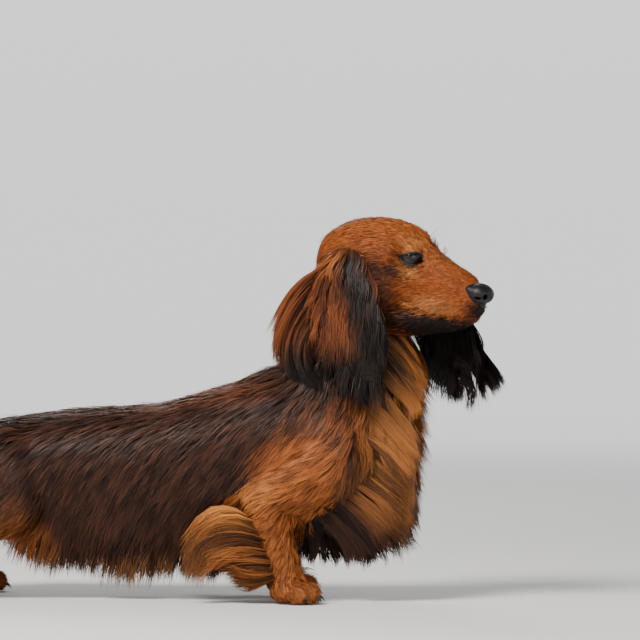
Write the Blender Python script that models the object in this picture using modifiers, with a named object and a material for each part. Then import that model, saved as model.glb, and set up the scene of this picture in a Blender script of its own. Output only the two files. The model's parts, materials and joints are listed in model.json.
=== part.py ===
"""A life-size long-haired dachshund, standing with its head turned to its right.

The body is modelled whole from lofted masses and parted with thin cuts into named pieces.
X runs along the back towards the head, Y to the animal's left and Z up, in metres.
"""

import math
import random

import bmesh
import bpy
import numpy as np
from mathutils import Euler, Matrix, Vector
from mathutils.bvhtree import BVHTree

# Driving sizes, in metres and degrees
GAP = 0.0003
HEAD_PLACE = Vector((0.1090, -0.030, 0.342))  # midway between the eyes
HEAD_TURN = -26
HEAD_NOD = 10
EYE_RADIUS = 0.0112
EYE_SEGMENTS = 13
EYE_PLACE = Vector((-0.0038, 0.0160, -0.001))
EYE_LOOK = 52  # how far each eye looks out from straight ahead
PAW_STAGGER = 0.024  # how far the left forepaw stands behind the right one
HIND_STAGGER = -0.014
COAT_REACH = 0.45  # how far the coat's solid core comes out, as a share of its hair
SEED = 8

# Trunk outline with its coat: place along the back, top, bottom, half width
TRUNK = (
    (0.092, 0.176, 0.128, 0.018),
    (0.080, 0.196, 0.102, 0.040),
    (0.055, 0.212, 0.078, 0.055),
    (0.020, 0.224, 0.064, 0.062),
    (-0.030, 0.229, 0.060, 0.066),
    (-0.087, 0.216, 0.058, 0.068),
    (-0.125, 0.205, 0.058, 0.069),
    (-0.165, 0.195, 0.060, 0.069),
    (-0.240, 0.190, 0.066, 0.067),
    (-0.310, 0.181, 0.074, 0.065),
    (-0.355, 0.172, 0.086, 0.058),
    (-0.384, 0.160, 0.100, 0.044),
    (-0.402, 0.142, 0.118, 0.020),
)

# Neck: centre x, y, z, half width, half depth
NECK = (
    (-0.004, 0.000, 0.160, 0.056, 0.066),
    (0.014, 0.000, 0.212, 0.048, 0.058),
    (0.030, 0.000, 0.252, 0.041, 0.048),
    (0.043, 0.000, 0.288, 0.038, 0.043),
    (0.050, 0.000, 0.316, 0.035, 0.038),
    (0.056, -0.001, 0.336, 0.030, 0.032),
)

# Head, from the back of the skull to the nose: place, top, bottom, half width
SKULL = (
    (-0.114, 0.000, -0.040, 0.016),
    (-0.104, 0.011, -0.050, 0.031),
    (-0.082, 0.024, -0.060, 0.041),
    (-0.056, 0.0305, -0.066, 0.0435),
    (-0.030, 0.0305, -0.066, 0.042),
    (-0.012, 0.0265, -0.060, 0.0380),
    (0.003, 0.0190, -0.056, 0.0288),
    (0.015, 0.0100, -0.0545, 0.0226),
    (0.030, 0.0020, -0.0535, 0.0213),
    (0.046, -0.0035, -0.0525, 0.0205),
    (0.062, -0.0085, -0.050, 0.0182),
    (0.0725, -0.0155, -0.0465, 0.0135),
    (0.079, -0.0250, -0.0410, 0.0075),
)
LOWER_JAW = (
    (-0.060, -0.048, -0.076, 0.020),
    (-0.036, -0.046, -0.082, 0.028),
    (0.000, -0.046, -0.078, 0.0240),
    (0.028, -0.046, -0.070, 0.0190),
    (0.052, -0.045, -0.0625, 0.0158),
    (0.067, -0.042, -0.0550, 0.0120),
    (0.0750, -0.042, -0.049, 0.0065),
)
# The line where the lips meet, from the corner of the mouth forward: place, height
MOUTH_LINE = (
    (0.004, -0.0450),
    (0.016, -0.0505),
    (0.034, -0.0535),
    (0.052, -0.0525),
    (0.066, -0.0490),
    (0.078, -0.0430),
)

# Limbs on the left side: x, y, z, half width, half depth
UPPER_ARM = (
    (0.034, 0.044, 0.158, 0.022, 0.026),
    (0.030, 0.049, 0.140, 0.024, 0.032),
    (-0.008, 0.055, 0.122, 0.023, 0.030),
    (-0.044, 0.058, 0.106, 0.020, 0.024),
    (-0.058, 0.058, 0.098, 0.014, 0.014),
)
FOREARM = (
    (-0.048, 0.058, 0.112, 0.018, 0.022),
    (-0.044, 0.059, 0.092, 0.019, 0.022),
    (-0.034, 0.057, 0.062, 0.016, 0.018),
    (-0.026, 0.055, 0.040, 0.0150, 0.0160),
    (-0.021, 0.055, 0.022, 0.0160, 0.0165),
    (-0.018, 0.055, 0.008, 0.0165, 0.0170),
)
THIGH = (
    (-0.335, 0.030, 0.165, 0.026, 0.040),
    (-0.328, 0.044, 0.138, 0.030, 0.050),
    (-0.305, 0.056, 0.108, 0.024, 0.038),
    (-0.292, 0.060, 0.090, 0.016, 0.022),
)
SHANK = (
    (-0.294, 0.060, 0.098, 0.018, 0.022),
    (-0.325, 0.060, 0.082, 0.017, 0.022),
    (-0.356, 0.059, 0.066, 0.014, 0.016),
    (-0.372, 0.059, 0.056, 0.012, 0.014),
    (-0.373, 0.059, 0.040, 0.0125, 0.0130),
    (-0.368, 0.060, 0.022, 0.0140, 0.0145),
    (-0.362, 0.060, 0.008, 0.0155, 0.0160),
)
TAIL = (
    (-0.365, 0.000, 0.150, 0.028, 0.024),
    (-0.400, 0.000, 0.150, 0.019, 0.018),
    (-0.450, 0.000, 0.150, 0.012, 0.012),
    (-0.520, 0.002, 0.144, 0.009, 0.009),
    (-0.580, 0.006, 0.148, 0.0065, 0.0065),
    (-0.630, 0.010, 0.160, 0.0030, 0.0030),
)

# Ear leather in the turned but level head's frame: place forward, out, up, half width, half thickness
NEAR_EAR = (
    (-0.064, 0.0260, 0.010, 0.012, 0.0050),
    (-0.064, 0.0400, 0.007, 0.017, 0.0050),
    (-0.066, 0.0510, -0.012, 0.031, 0.0046),
    (-0.066, 0.0560, -0.038, 0.041, 0.0038),
    (-0.061, 0.0570, -0.064, 0.044, 0.0032),
    (-0.054, 0.0570, -0.086, 0.037, 0.0026),
    (-0.046, 0.0565, -0.104, 0.019, 0.0020),
)
FAR_EAR = (
    (-0.064, 0.0260, 0.010, 0.012, 0.0050),
    (-0.062, 0.0400, 0.007, 0.017, 0.0050),
    (-0.049, 0.0510, -0.012, 0.027, 0.0046),
    (-0.030, 0.0560, -0.038, 0.033, 0.0038),
    (-0.010, 0.0570, -0.064, 0.033, 0.0032),
    (0.004, 0.0570, -0.088, 0.027, 0.0026),
    (0.012, 0.0565, -0.105, 0.012, 0.0020),
)
EAR_CURL = 0.0065  # how far the ear's edges turn in towards the head

# Paws: place of the foot, toes (ahead, out, height), and how far each turns out
FOREPAW = (-0.0165, 0.057)
FOREPAW_YAW = 12
HINDPAW = (-0.352, 0.061)
HINDPAW_YAW = 6
HINDPAW_SLIM = 0.92
SOLE_DEPTH = 0.0022
TOES = (
    (0.0090, -0.0125, 0.0105),
    (0.0155, -0.0045, 0.0115),
    (0.0155, 0.0045, 0.0115),
    (0.0090, 0.0125, 0.0105),
)

# Lids and nose, in the head's frame
LID_HALF_WIDTH = 0.0098
LID_HALF_HEIGHT = 0.0054
LID_THICKNESS = 0.0013
NOSE_PLACE = Vector((0.0755, 0, -0.0215))
NOSE_SIZE = (0.0105, 0.0125, 0.0095)

# Where the pieces part. The head's cut is a point and a direction in its own x-z plane.
HEAD_CUT = (-0.108, -0.014, 0.603, 0.798)
NECK_CUT = (-0.040, 0, 0.234)
NECK_NORMAL = (0.464, 0, 0.886)
LEG_MARGIN = 0.0045  # how far each leg's piece reaches over the trunk round the limb
LEG_INNER = 0.020
LIMB_OUT = 0.14
TAIL_CELL = ((-0.90, -0.030, 0.060), (-0.403, 0.030, 0.30))

# Locks of the long coat
LOCK_STEPS = 3
LOCK_ROOT = 0.006  # how deep a lock is rooted
LOCK_TAPER = (0.84, 1.0, 0.68)  # its width at each station, before the tip
LOCK_FREE = 0.003  # a lock this far off the skin keeps facing as it did on it
LOCK_RISE = (0.20, 0.65, 0.95, 1.0)  # how much of its lift it has at each station
LOCK_FLOOR = 0.006  # the lowest that a lock hangs
LOCK_THICKNESS = 0.17  # a lock's thickness, as a share of its width
LOCK_SLIMMING = 0.45  # how much of its thickness is lost on the way to the tip
LOCK_CLEARANCE = 0.0004

# Triangles of the body's skin, the head's and the nose's
BODY_FACES = 2840
FACE_FACES = 1380
NOSE_FACES = 170
CELL_FACES = 130
SHARP_ANGLE = 40

COAT_BROWN = (0.075, 0.030, 0.014, 1)
FACE_RED = (0.360, 0.125, 0.035, 1)
FEATHER_TAN = (0.360, 0.140, 0.045, 1)
TAIL_BROWN = (0.110, 0.042, 0.018, 1)
EAR_DARK = (0.140, 0.045, 0.018, 1)
NOSE_BLACK = (0.012, 0.012, 0.014, 1)
EYE_BROWN = (0.020, 0.009, 0.005, 1)


def clear_scene():
    for thing in list(bpy.data.objects):
        bpy.data.objects.remove(thing)


def coat_material(name, colour, roughness):
    material = bpy.data.materials.new(name)
    material.use_nodes = True
    shader = material.node_tree.nodes["Principled BSDF"]
    shader.inputs["Base Color"].default_value = colour
    shader.inputs["Roughness"].default_value = roughness
    shader.inputs["Metallic"].default_value = 0
    material.diffuse_color = colour
    return material


def head_frame(nod=HEAD_NOD):
    """The turned head's own frame, with x towards the nose and y to the animal's left."""
    turn = Euler((0, math.radians(nod), math.radians(HEAD_TURN))).to_matrix().to_4x4()
    return Matrix.Translation(HEAD_PLACE) @ turn


def smooth_rows(rows, count):
    """The rows read as one smooth curve, at count even steps."""
    rows = np.array(rows, float)
    padded = np.vstack([2 * rows[0] - rows[1], rows, 2 * rows[-1] - rows[-2]])
    found = []
    for place in np.linspace(0, len(rows) - 1, count):
        start = min(int(place), len(rows) - 2)
        t = place - start
        a, b, c, d = padded[start : start + 4]
        bend = (2 * a - 5 * b + 4 * c - d) * t * t + (3 * b - a - 3 * c + d) * t**3
        found.append(0.5 * (2 * b + (c - a) * t + bend))
    return found


def new_object(name, mesh, matrix=None):
    thing = bpy.data.objects.new(name, mesh)
    bpy.context.scene.collection.objects.link(thing)
    if matrix is not None:
        mesh.transform(matrix)
    return thing


def loft(name, rings, matrix=None):
    """A closed tube through rings of points."""
    form = bmesh.new()
    loops = [[form.verts.new(point) for point in ring] for ring in rings]
    for first, second in zip(loops, loops[1:]):
        for i in range(len(first)):
            j = (i + 1) % len(first)
            form.faces.new((first[i], first[j], second[j], second[i]))
    form.faces.new(loops[0][::-1])
    form.faces.new(loops[-1])
    bmesh.ops.recalc_face_normals(form, faces=form.faces)
    mesh = bpy.data.meshes.new(name)
    form.to_mesh(mesh)
    form.free()
    return new_object(name, mesh, matrix)


def ring_of(centre, across, upward, half_width, half_depth, sides, fullness):
    """An oval of points. A fullness under 1 makes it squarer."""
    ring = []
    for step in range(sides):
        angle = 2 * math.pi * step / sides
        c, s = math.cos(angle), math.sin(angle)
        wide = math.copysign(abs(c) ** fullness, c) * half_width
        deep = math.copysign(abs(s) ** fullness, s) * half_depth
        ring.append(centre + across * wide + upward * deep)
    return ring


def body_loft(name, rows, matrix=None, count=40, sides=32, fullness=0.92):
    """A loft of upright sections: place along x, top, bottom, half width."""
    across, upward = Vector((0, 1, 0)), Vector((0, 0, 1))
    rings = []
    for x, top, bottom, half_width in smooth_rows(rows, count):
        centre = Vector((x, 0, (top + bottom) / 2))
        depth = (top - bottom) / 2
        rings.append(ring_of(centre, across, upward, half_width, depth, sides, fullness))
    return loft(name, rings, matrix)


def limb_loft(name, rows, matrix=None, side=1, across=(0, 1, 0), count=20, sides=16):
    """A loft that follows its own line: x, y, z, half width, half depth."""
    rows = smooth_rows(rows, count)
    centres = [Vector((row[0], row[1] * side, row[2])) for row in rows]
    rings = []
    for i, row in enumerate(rows):
        along = (centres[min(i + 1, count - 1)] - centres[max(i - 1, 0)]).normalized()
        flat = Vector(across)
        flat = (flat - along * along.dot(flat)).normalized()
        rings.append(ring_of(centres[i], flat, along.cross(flat), row[3], row[4], sides, 1.0))
    return loft(name, rings, matrix)


def ball(name, centre, radii, matrix=None, turn=(0, 0, 0), segments=20):
    form = bmesh.new()
    bmesh.ops.create_uvsphere(form, u_segments=segments, v_segments=segments // 2, radius=1)
    mesh = bpy.data.meshes.new(name)
    form.to_mesh(mesh)
    form.free()
    own = Euler([math.radians(a) for a in turn]).to_matrix().to_4x4()
    mesh.transform(Matrix.Translation(centre) @ own @ Matrix.Diagonal((*radii, 1)))
    return new_object(name, mesh, matrix)


def block(name, low, high, matrix=None):
    """A box between two corners."""
    form = bmesh.new()
    bmesh.ops.create_cube(form, size=1)
    mesh = bpy.data.meshes.new(name)
    form.to_mesh(mesh)
    form.free()
    low, high = Vector(low), Vector(high)
    mesh.transform(Matrix.Translation((low + high) / 2) @ Matrix.Diagonal((*(high - low), 1)))
    return new_object(name, mesh, matrix)


def joined(name, pieces):
    form = bmesh.new()
    for piece in pieces:
        form.from_mesh(piece.data)
        bpy.data.objects.remove(piece)
    mesh = bpy.data.meshes.new(name)
    form.to_mesh(mesh)
    form.free()
    return new_object(name, mesh)


def applied(thing):
    """The object with its modifiers made real."""
    graph = bpy.context.evaluated_depsgraph_get()
    mesh = bpy.data.meshes.new_from_object(thing.evaluated_get(graph))
    thing.modifiers.clear()
    thing.data = mesh
    return thing


def fused(name, pieces, voxel, rounds):
    """One closed skin over all the pieces, with its creases eased."""
    whole = joined(name, pieces)
    skin = whole.modifiers.new("skin", "REMESH")
    skin.mode = "VOXEL"
    skin.voxel_size = voxel
    ease = whole.modifiers.new("ease", "SMOOTH")
    ease.factor = 0.5
    ease.iterations = rounds
    return applied(whole)


def thinned(name, source, faces):
    """A copy of the source with about this many triangles."""
    copy = new_object(name, source.data.copy())
    triangles = sum(len(face.vertices) - 2 for face in source.data.polygons)
    fewer = copy.modifiers.new("fewer", "DECIMATE")
    fewer.ratio = faces / triangles
    return applied(copy)


def copied(source):
    return new_object(source.name + "_copy", source.data.copy())


def fattened(source, by):
    """A copy of the source grown outward by this much."""
    copy = copied(source)
    grow = copy.modifiers.new("grow", "DISPLACE")
    grow.strength = by
    grow.mid_level = 0
    return applied(copy)


def boolean(thing, other, operation, keep=False, solver="EXACT"):
    cut = thing.modifiers.new("cut", "BOOLEAN")
    cut.solver = solver
    cut.operation = operation
    cut.object = other
    applied(thing)
    if not keep:
        bpy.data.objects.remove(other)
    return largest_shell(thing)


def largest_shell(thing):
    """Only the largest closed surface of the object is kept."""
    form = bmesh.new()
    form.from_mesh(thing.data)
    seen, shells = set(), []
    for start in form.faces:
        if start in seen:
            continue
        shell, queue = [], [start]
        seen.add(start)
        while queue:
            face = queue.pop()
            shell.append(face)
            for edge in face.edges:
                for beside in edge.link_faces:
                    if beside not in seen:
                        seen.add(beside)
                        queue.append(beside)
        shells.append(shell)
    shells.sort(key=lambda faces: sum(face.calc_area() for face in faces))
    spare = [face for shell in shells[:-1] for face in shell]
    if spare:
        bmesh.ops.delete(form, geom=spare, context="FACES")
        form.to_mesh(thing.data)
    form.free()
    return thing


def paw(name, centre, side, yaw, slim=1.0):
    """A foot with four arched toes, which reach just under the floor, where a flat cut ends them."""
    frame = Matrix.Translation(centre) @ Matrix.Rotation(math.radians(yaw * side), 4, "Z")
    pieces = [ball(name, (-0.004, 0, 0.012), (0.021, 0.0185 * slim, 0.014), frame)]
    for ahead, out, height in TOES:
        toe = (0.0115, 0.0062, height + SOLE_DEPTH)
        pieces.append(ball(name, (ahead, out * side * slim, height), toe, frame, segments=14))
    return pieces


def claws(centre, side, yaw, slim=1.0):
    """Short blunt claws at the toes' ends, held clear of the floor."""
    frame = Matrix.Translation(centre) @ Matrix.Rotation(math.radians(yaw * side), 4, "Z")
    found = []
    for ahead, out, height in TOES:
        y = out * side * slim
        root = ahead + 0.0075
        rows = (
            (root, y, height - 0.0015, 0.0018, 0.0022),
            (root + 0.0045, y, height - 0.0030, 0.0015, 0.0018),
            (root + 0.0078, y, height - 0.0060, 0.0006, 0.0008),
        )
        found.append(limb_loft("claw", rows, frame, count=3, sides=4))
    return found


def foot_place(side, hind):
    """The place, turn and slimness of one foot."""
    place, yaw, slim = (HINDPAW, HINDPAW_YAW, HINDPAW_SLIM) if hind else (FOREPAW, FOREPAW_YAW, 1.0)
    return limb_shift(side, hind) @ Vector((place[0], place[1] * side, 0)), side, yaw, slim


def limb_shift(side, hind=False):
    """Where this side's paw stands, against the right one."""
    return Matrix.Translation(((HIND_STAGGER if hind else -PAW_STAGGER) if side > 0 else 0, 0, 0))


def foreleg_masses(side):
    shift = limb_shift(side)
    return [
        limb_loft("upper_arm", UPPER_ARM, side=side),
        ball("elbow", (-0.052, 0.059 * side, 0.103), (0.018, 0.0165, 0.020)),
        limb_loft("forearm", FOREARM, shift, side=side),
        *paw("forepaw", *foot_place(side, False)),
    ]


def hindleg_masses(side):
    shift = limb_shift(side, hind=True)
    return [
        limb_loft("thigh", THIGH, side=side),
        ball("stifle", (-0.294, 0.060 * side, 0.098), (0.020, 0.018, 0.024)),
        limb_loft("shank", SHANK, shift, side=side),
        ball("hock", (-0.373, 0.059 * side, 0.060), (0.0125, 0.0115, 0.0150), shift),
        *paw("hindpaw", *foot_place(side, True)),
    ]


def head_masses():
    head = head_frame()
    pieces = [
        body_loft("skull", SKULL, head, sides=28, fullness=0.88),
        body_loft("jaw", LOWER_JAW, head, sides=20, fullness=0.9),
    ]
    forms = (
        ("brow", (-0.004, 0.0165, 0.0085), (0.0200, 0.0125, 0.0090), (0, 24, -22)),
        ("cheekbone", (-0.010, 0.0215, -0.0190), (0.0260, 0.0110, 0.0110), (0, 10, -22)),
        ("cheek", (-0.036, 0.0295, -0.0320), (0.0310, 0.0140, 0.0290), (0, 0, 0)),
        ("lip", (0.042, 0.0125, -0.0405), (0.0340, 0.0098, 0.0140), (0, -5, -9)),
    )
    for side in (1, -1):
        for name, (x, y, z), radii, (roll, pitch, yaw) in forms:
            pieces.append(ball(name, (x, y * side, z), radii, head, turn=(roll, pitch, yaw * side)))
    return pieces


def body_masses():
    """Every mass of the trunk, neck, limbs and tail, coat included."""
    shoulder, shoulder_size = Vector((0.020, 0.046, 0.158)), (0.046, 0.020, 0.046)
    trunk = fused("trunk", [
        body_loft("trunk", TRUNK),
        limb_loft("neck", NECK),
        ball("withers", (-0.035, 0, 0.196), (0.060, 0.040, 0.036)),
        ball("croup", (-0.345, 0, 0.140), (0.046, 0.052, 0.036)),
        ball("shoulder", shoulder, shoulder_size, turn=(12, 30, 0)),
        ball("shoulder", shoulder * Vector((1, -1, 1)), shoulder_size, turn=(-12, 30, 0)),
        ball("nape", (0.022, 0.010, 0.322), (0.030, 0.031, 0.046), turn=(0, 12, 0)),
        *[limb_loft("thigh", THIGH, side=s) for s in (1, -1)],
    ], 0.005, 10)
    pieces = [trunk, limb_loft("tail", TAIL), *plain_coat()]
    for side in (1, -1):
        pieces += foreleg_masses(side) + fore_feather(side)
        pieces += hindleg_masses(side) + breech(side)
    return pieces


def plain_coat():
    """The long coat of the neck, chest, belly and tail as smooth masses, out to COAT_REACH of its hair."""
    r = COAT_REACH
    flag = (
        (-0.400, 0, 0.148, 0.006, 0.012),
        (-0.430, 0, 0.150 - 0.009 * r, 0.007, 0.011 + 0.010 * r),
        (-0.480, 0.001, 0.147 - 0.022 * r, 0.006, 0.010 + 0.022 * r),
        (-0.550, 0.004, 0.144 - 0.026 * r, 0.005, 0.008 + 0.026 * r),
        (-0.600, 0.008, 0.152 - 0.018 * r, 0.004, 0.006 + 0.018 * r),
        (-0.628, 0.010, 0.160 - 0.008 * r, 0.003, 0.003 + 0.008 * r),
    )
    belly = (
        (-0.050, 0.090, 0.062 - 0.008 * r, 0.020),
        (-0.090, 0.100, 0.062 - 0.024 * r, 0.040),
        (-0.140, 0.100, 0.062 - 0.034 * r, 0.050),
        (-0.200, 0.100, 0.064 - 0.034 * r, 0.052),
        (-0.252, 0.110, 0.068 - 0.024 * r, 0.040),
        (-0.285, 0.110, 0.074 - 0.006 * r, 0.020),
    )
    return [
        fused("coat", [
            ball("ruff", (0.056, 0, 0.212), (0.032 + 0.020 * r, 0.043, 0.072)),
            ball("bib", (0.046, 0, 0.134), (0.036 + 0.022 * r, 0.048, 0.064)),
            ball("brisket", (-0.004, 0, 0.078), (0.070, 0.036, 0.018 + 0.020 * r)),
            body_loft("belly_hair", belly),
            limb_loft("flag", flag),
        ], 0.004, 6),
    ]


def fore_feather(side):
    """The long hair behind one foreleg."""
    r = COAT_REACH
    rows = (
        (-0.050, 0.060 * side, 0.094, 0.010, 0.012),
        (-0.055 - 0.014 * r, 0.064 * side, 0.078, 0.008, 0.011 + 0.010 * r),
        (-0.053 - 0.022 * r, 0.066 * side, 0.060, 0.007, 0.010 + 0.008 * r),
        (-0.047 - 0.018 * r, 0.066 * side, 0.042, 0.005, 0.006 + 0.005 * r),
    )
    return [limb_loft("feather", rows, limb_shift(side))]


def breech(side):
    """The long hair behind one thigh."""
    r = COAT_REACH
    rows = (
        (-0.360, 0.046 * side, 0.138, 0.018, 0.016),
        (-0.366 - 0.012 * r, 0.050 * side, 0.114, 0.018, 0.016 + 0.004 * r),
        (-0.370 - 0.020 * r, 0.053 * side, 0.090, 0.014, 0.011 + 0.008 * r),
        (-0.374 - 0.022 * r, 0.056 * side, 0.068, 0.008, 0.005 + 0.005 * r),
    )
    return [limb_loft("breech", rows, limb_shift(side, hind=True))]


def surface_of(things):
    """The objects' faces in one tree, for finding the nearest place on them."""
    points, faces = [], []
    for thing in things:
        first = len(points)
        points += [vertex.co.copy() for vertex in thing.data.vertices]
        faces += [[first + i for i in face.vertices] for face in thing.data.polygons]
    return BVHTree.FromPolygons(points, faces)


def trail(skin, root, lie, length, lift, droop, wave):
    """The line that a lock follows: out of the skin, close along its lie, then hanging free."""
    place, outward, _, _ = skin.find_nearest(root)
    heading = (lie - outward * min(0, lie.dot(outward))).normalized()
    across = heading.cross(outward)
    path = [place - outward * LOCK_ROOT]
    outs = [outward]
    point = place + outward * lift * LOCK_RISE[0]
    for step in range(1, LOCK_STEPS + 1):
        sway = across * wave * math.cos(math.pi * step / LOCK_STEPS)
        heading = (heading + Vector((0, 0, -droop)) + sway).normalized()
        point = point + heading * length / LOCK_STEPS
        near, beside, _, _ = skin.find_nearest(point)
        height = lift * LOCK_RISE[step]
        if (point - near).dot(beside) < height + LOCK_FREE:
            outward = beside
        if (point - near).dot(beside) < height:
            point = near + beside * height
        point.z = max(point.z, LOCK_FLOOR)
        path.append(point)
        leaving = abs(heading.dot(outward))
        outs.append(outward * (1 - leaving) + Vector((0, math.copysign(leaving, place.y), 0)))
    outs[0] = outs[1]
    return path, outs


def lock(path, outs, width, thickness, grow=0.0):
    """A flat lock with a low ridge on its outer side, ending in a point."""
    form = bmesh.new()
    loops = []
    for i, (place, outward) in enumerate(zip(path[:-1], outs)):
        along = (path[i + 1] - path[max(i - 1, 0)]).normalized()
        flat = along.cross(outward).normalized()
        up = flat.cross(along)
        half = width / 2 * LOCK_TAPER[i] + 4 * grow
        ridge = thickness * (1 - LOCK_SLIMMING * i / LOCK_STEPS) + 2 * grow
        under = place - up * grow
        section = (under - flat * half, place + up * ridge, under + flat * half)
        loops.append([form.verts.new(corner) for corner in section])
    tip = form.verts.new(path[-1] + (path[-1] - path[-2]).normalized() * 4 * grow)
    for first, second in zip(loops, loops[1:]):
        for i in range(3):
            j = (i + 1) % 3
            form.faces.new((first[i], first[j], second[j]))
            form.faces.new((first[i], second[j], second[i]))
    form.faces.new(loops[0][::-1])
    for i in range(3):
        form.faces.new((loops[-1][i], loops[-1][(i + 1) % 3], tip))
    bmesh.ops.recalc_face_normals(form, faces=form.faces)
    mesh = bpy.data.meshes.new("lock")
    form.to_mesh(mesh)
    form.free()
    return new_object("lock", mesh)


def united(thing, pieces):
    """The object and the pieces as one closed body."""
    group = bpy.data.collections.new("pieces")
    for piece in pieces:
        group.objects.link(piece)
    union = thing.modifiers.new("union", "BOOLEAN")
    # EXACT leaves sealed hollows where many locks cross
    union.solver = "MANIFOLD"
    union.operation = "UNION"
    union.operand_type = "COLLECTION"
    union.collection = group
    applied(thing)
    for piece in pieces:
        bpy.data.objects.remove(piece)
    bpy.data.collections.remove(group)
    return largest_shell(thing)


def coated(node, skin, tufts):
    """Roots the locks in the node. Returns the space that its neighbours keep clear of."""
    room = fattened(node, GAP)
    trails = [(trail(skin, *way), size) for way, size in tufts]
    united(node, [lock(*line, *size) for line, size in trails])
    return united(room, [lock(*line, *size, LOCK_CLEARANCE) for line, size in trails])


def varied(draw, root, lie, length, lift, droop, width, spread=0.004):
    """One lock's way and size, a little different from its neighbours'."""
    root = Vector(root) + Vector([draw.uniform(-spread, spread) for _ in range(3)])
    lie = Vector(lie).normalized() + Vector([draw.uniform(-0.16, 0.16) for _ in range(3)])
    way = (root, lie, length * draw.uniform(0.86, 1.12), lift, droop, draw.uniform(-0.35, 0.35))
    width *= draw.uniform(0.88, 1.12)
    return way, (width, width * LOCK_THICKNESS)


def ear_locks(draw, side):
    """Rows down the outer face of an ear and a fringe round its edge, out to the tips."""
    rows = smooth_rows(FAR_EAR if side > 0 else NEAR_EAR, 101)
    blown = 0.36 if side > 0 else 0.0
    frame = head_frame(nod=0)
    found = []
    for place, count, length in ((36, 2, 0.050), (56, 3, 0.052), (72, 3, 0.054), (88, 4, 0.046)):
        ahead, out, up, half_width, _ = rows[place]
        for i in range(count):
            across = (2 * i / (count - 1) - 1) * 0.86
            root = frame @ Vector((ahead + half_width * across, (out + 0.012) * side, up))
            fan = across * (0.62 if across < 0 else 0.30) + blown
            lie = frame.to_3x3() @ Vector((fan, 0.05 * side, -1))
            lift = 0.0034 + 0.0030 * (i % 2)
            found.append(varied(draw, root, lie, length, lift, 0.10, 0.0215, 0.002))
    return found


def neck_locks(draw):
    """The ruff: rows round the front and sides of the neck."""
    found = []
    count = 5
    rows = ((0.278, 0.045, 96, 0.056), (0.250, 0.034, 104, 0.060), (0.224, 0.024, 95, 0.058))
    for height, ahead, reach, length in rows:
        for i in range(count):
            angle = math.radians((2 * i / (count - 1) - 1) * reach)
            root = (ahead + 0.090 * math.cos(angle), 0.090 * math.sin(angle), height)
            lie = (0.25 * math.cos(angle) - 0.10, 0.20 * math.sin(angle), -1)
            found.append(varied(draw, root, lie, length, 0.0050, 0.10, 0.0280))
    return found


def chest_locks(draw):
    """Rows down the front of the chest and under the breast."""
    found = []
    rows = (
        (0.184, 70, 5, 0.058),
        (0.156, 76, 5, 0.060),
        (0.128, 68, 5, 0.058),
        (0.101, 58, 4, 0.054),
        (0.077, 48, 3, 0.046),
    )
    for height, reach, count, length in rows:
        for i in range(count):
            angle = math.radians((2 * i / (count - 1) - 1) * reach)
            root = (0.030 + 0.100 * math.cos(angle), 0.100 * math.sin(angle), height)
            lie = (-0.30 - 2.5 * (0.184 - height), 0.10 * math.sin(angle), -1)
            found.append(varied(draw, root, lie, length, 0.0050, 0.12, 0.0280))
    return found


def belly_locks(draw):
    """The fringe: long hair that hangs from the flanks, the belly and the breast."""
    found = []
    for side in (1, -1):
        for height, out, first, count, lie, length in (
            (0.086, 0.10, -0.076, 9, (-0.70, 0, -1), 0.064),
            (0.056, 0.07, -0.088, 8, (-0.50, 0, -1), 0.054),
            (0.030, 0.03, -0.078, 7, (-0.45, 0, -1), 0.038),
        ):
            for i in range(count):
                root = (first - 0.0255 * i, out * side, height)
                lift = 0.0024 + 0.0026 * (i % 2)
                found.append(varied(draw, root, lie, length, lift, 0.10, 0.0290))
        for i in range(4):
            root = (0.022 - 0.025 * i, 0.035 * side, 0.050)
            found.append(varied(draw, root, (-0.7, 0, -1), 0.042, 0.0030, 0.20, 0.0270))
    return found


def foreleg_locks(draw, side):
    """The feather behind one foreleg."""
    shift = limb_shift(side)
    found = []
    for i, height in enumerate((0.090, 0.076, 0.062, 0.049, 0.037)):
        for out, later in ((0.054, 0), (0.072, 0.007)):
            root = shift @ Vector((-0.100, out * side, height - later))
            lie = (-1, 0.04 * side, -0.12 - 0.14 * i)
            found.append(varied(draw, root, lie, 0.056 - 0.002 * i, 0.0012, 0.14, 0.0200, 0.002))
    return found


def hindleg_locks(draw, side):
    """The breeches behind one thigh."""
    found = []
    for i in range(4):
        height = 0.138 - 0.018 * i
        for out, later in ((0.030, 0), (0.050, 0.009)):
            root = (-0.430, (out + 0.004) * side, height - later)
            found.append(varied(draw, root, (-0.62, 0, -1), 0.046, 0.0030, 0.12, 0.0200, 0.002))
    return found


def tail_locks(draw):
    """The flag: locks that hang from both sides of the tail and run on past its end."""
    found = []
    count = 9
    for i in range(count):
        along = i / (count - 1)
        x = -0.412 - 0.194 * along
        length = 0.052 + 0.026 * math.sin(math.pi * along)
        for side in (1, -1):
            root = (x - 0.010 * side, 0.030 * side, 0.136 + 0.01 * along)
            lift = 0.0010 + 0.0020 * (i % 2)
            found.append(varied(draw, root, (-1, 0.02 * side, -0.72), length, lift, 0.14, 0.0230, 0.002))
    found.append(varied(draw, (-0.622, 0.010, 0.190), (-1, 0, -0.1), 0.040, 0.0008, 0.05, 0.0120, 0.001))
    return found


def half_space(name, point, normal, size=1.2):
    """A large box whose one face holds the point and looks back along the normal."""
    turn = Vector(normal).normalized().to_track_quat("Z", "Y").to_matrix().to_4x4()
    return block(name, (-size, -size, 0), (size, size, size), Matrix.Translation(point) @ turn)


def prism(name, outline, low, high, matrix=None):
    """An outline in the x-z plane, drawn out along y."""
    return loft(name, [[Vector((x, y, z)) for x, z in outline] for y in (low, high)], matrix)


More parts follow.
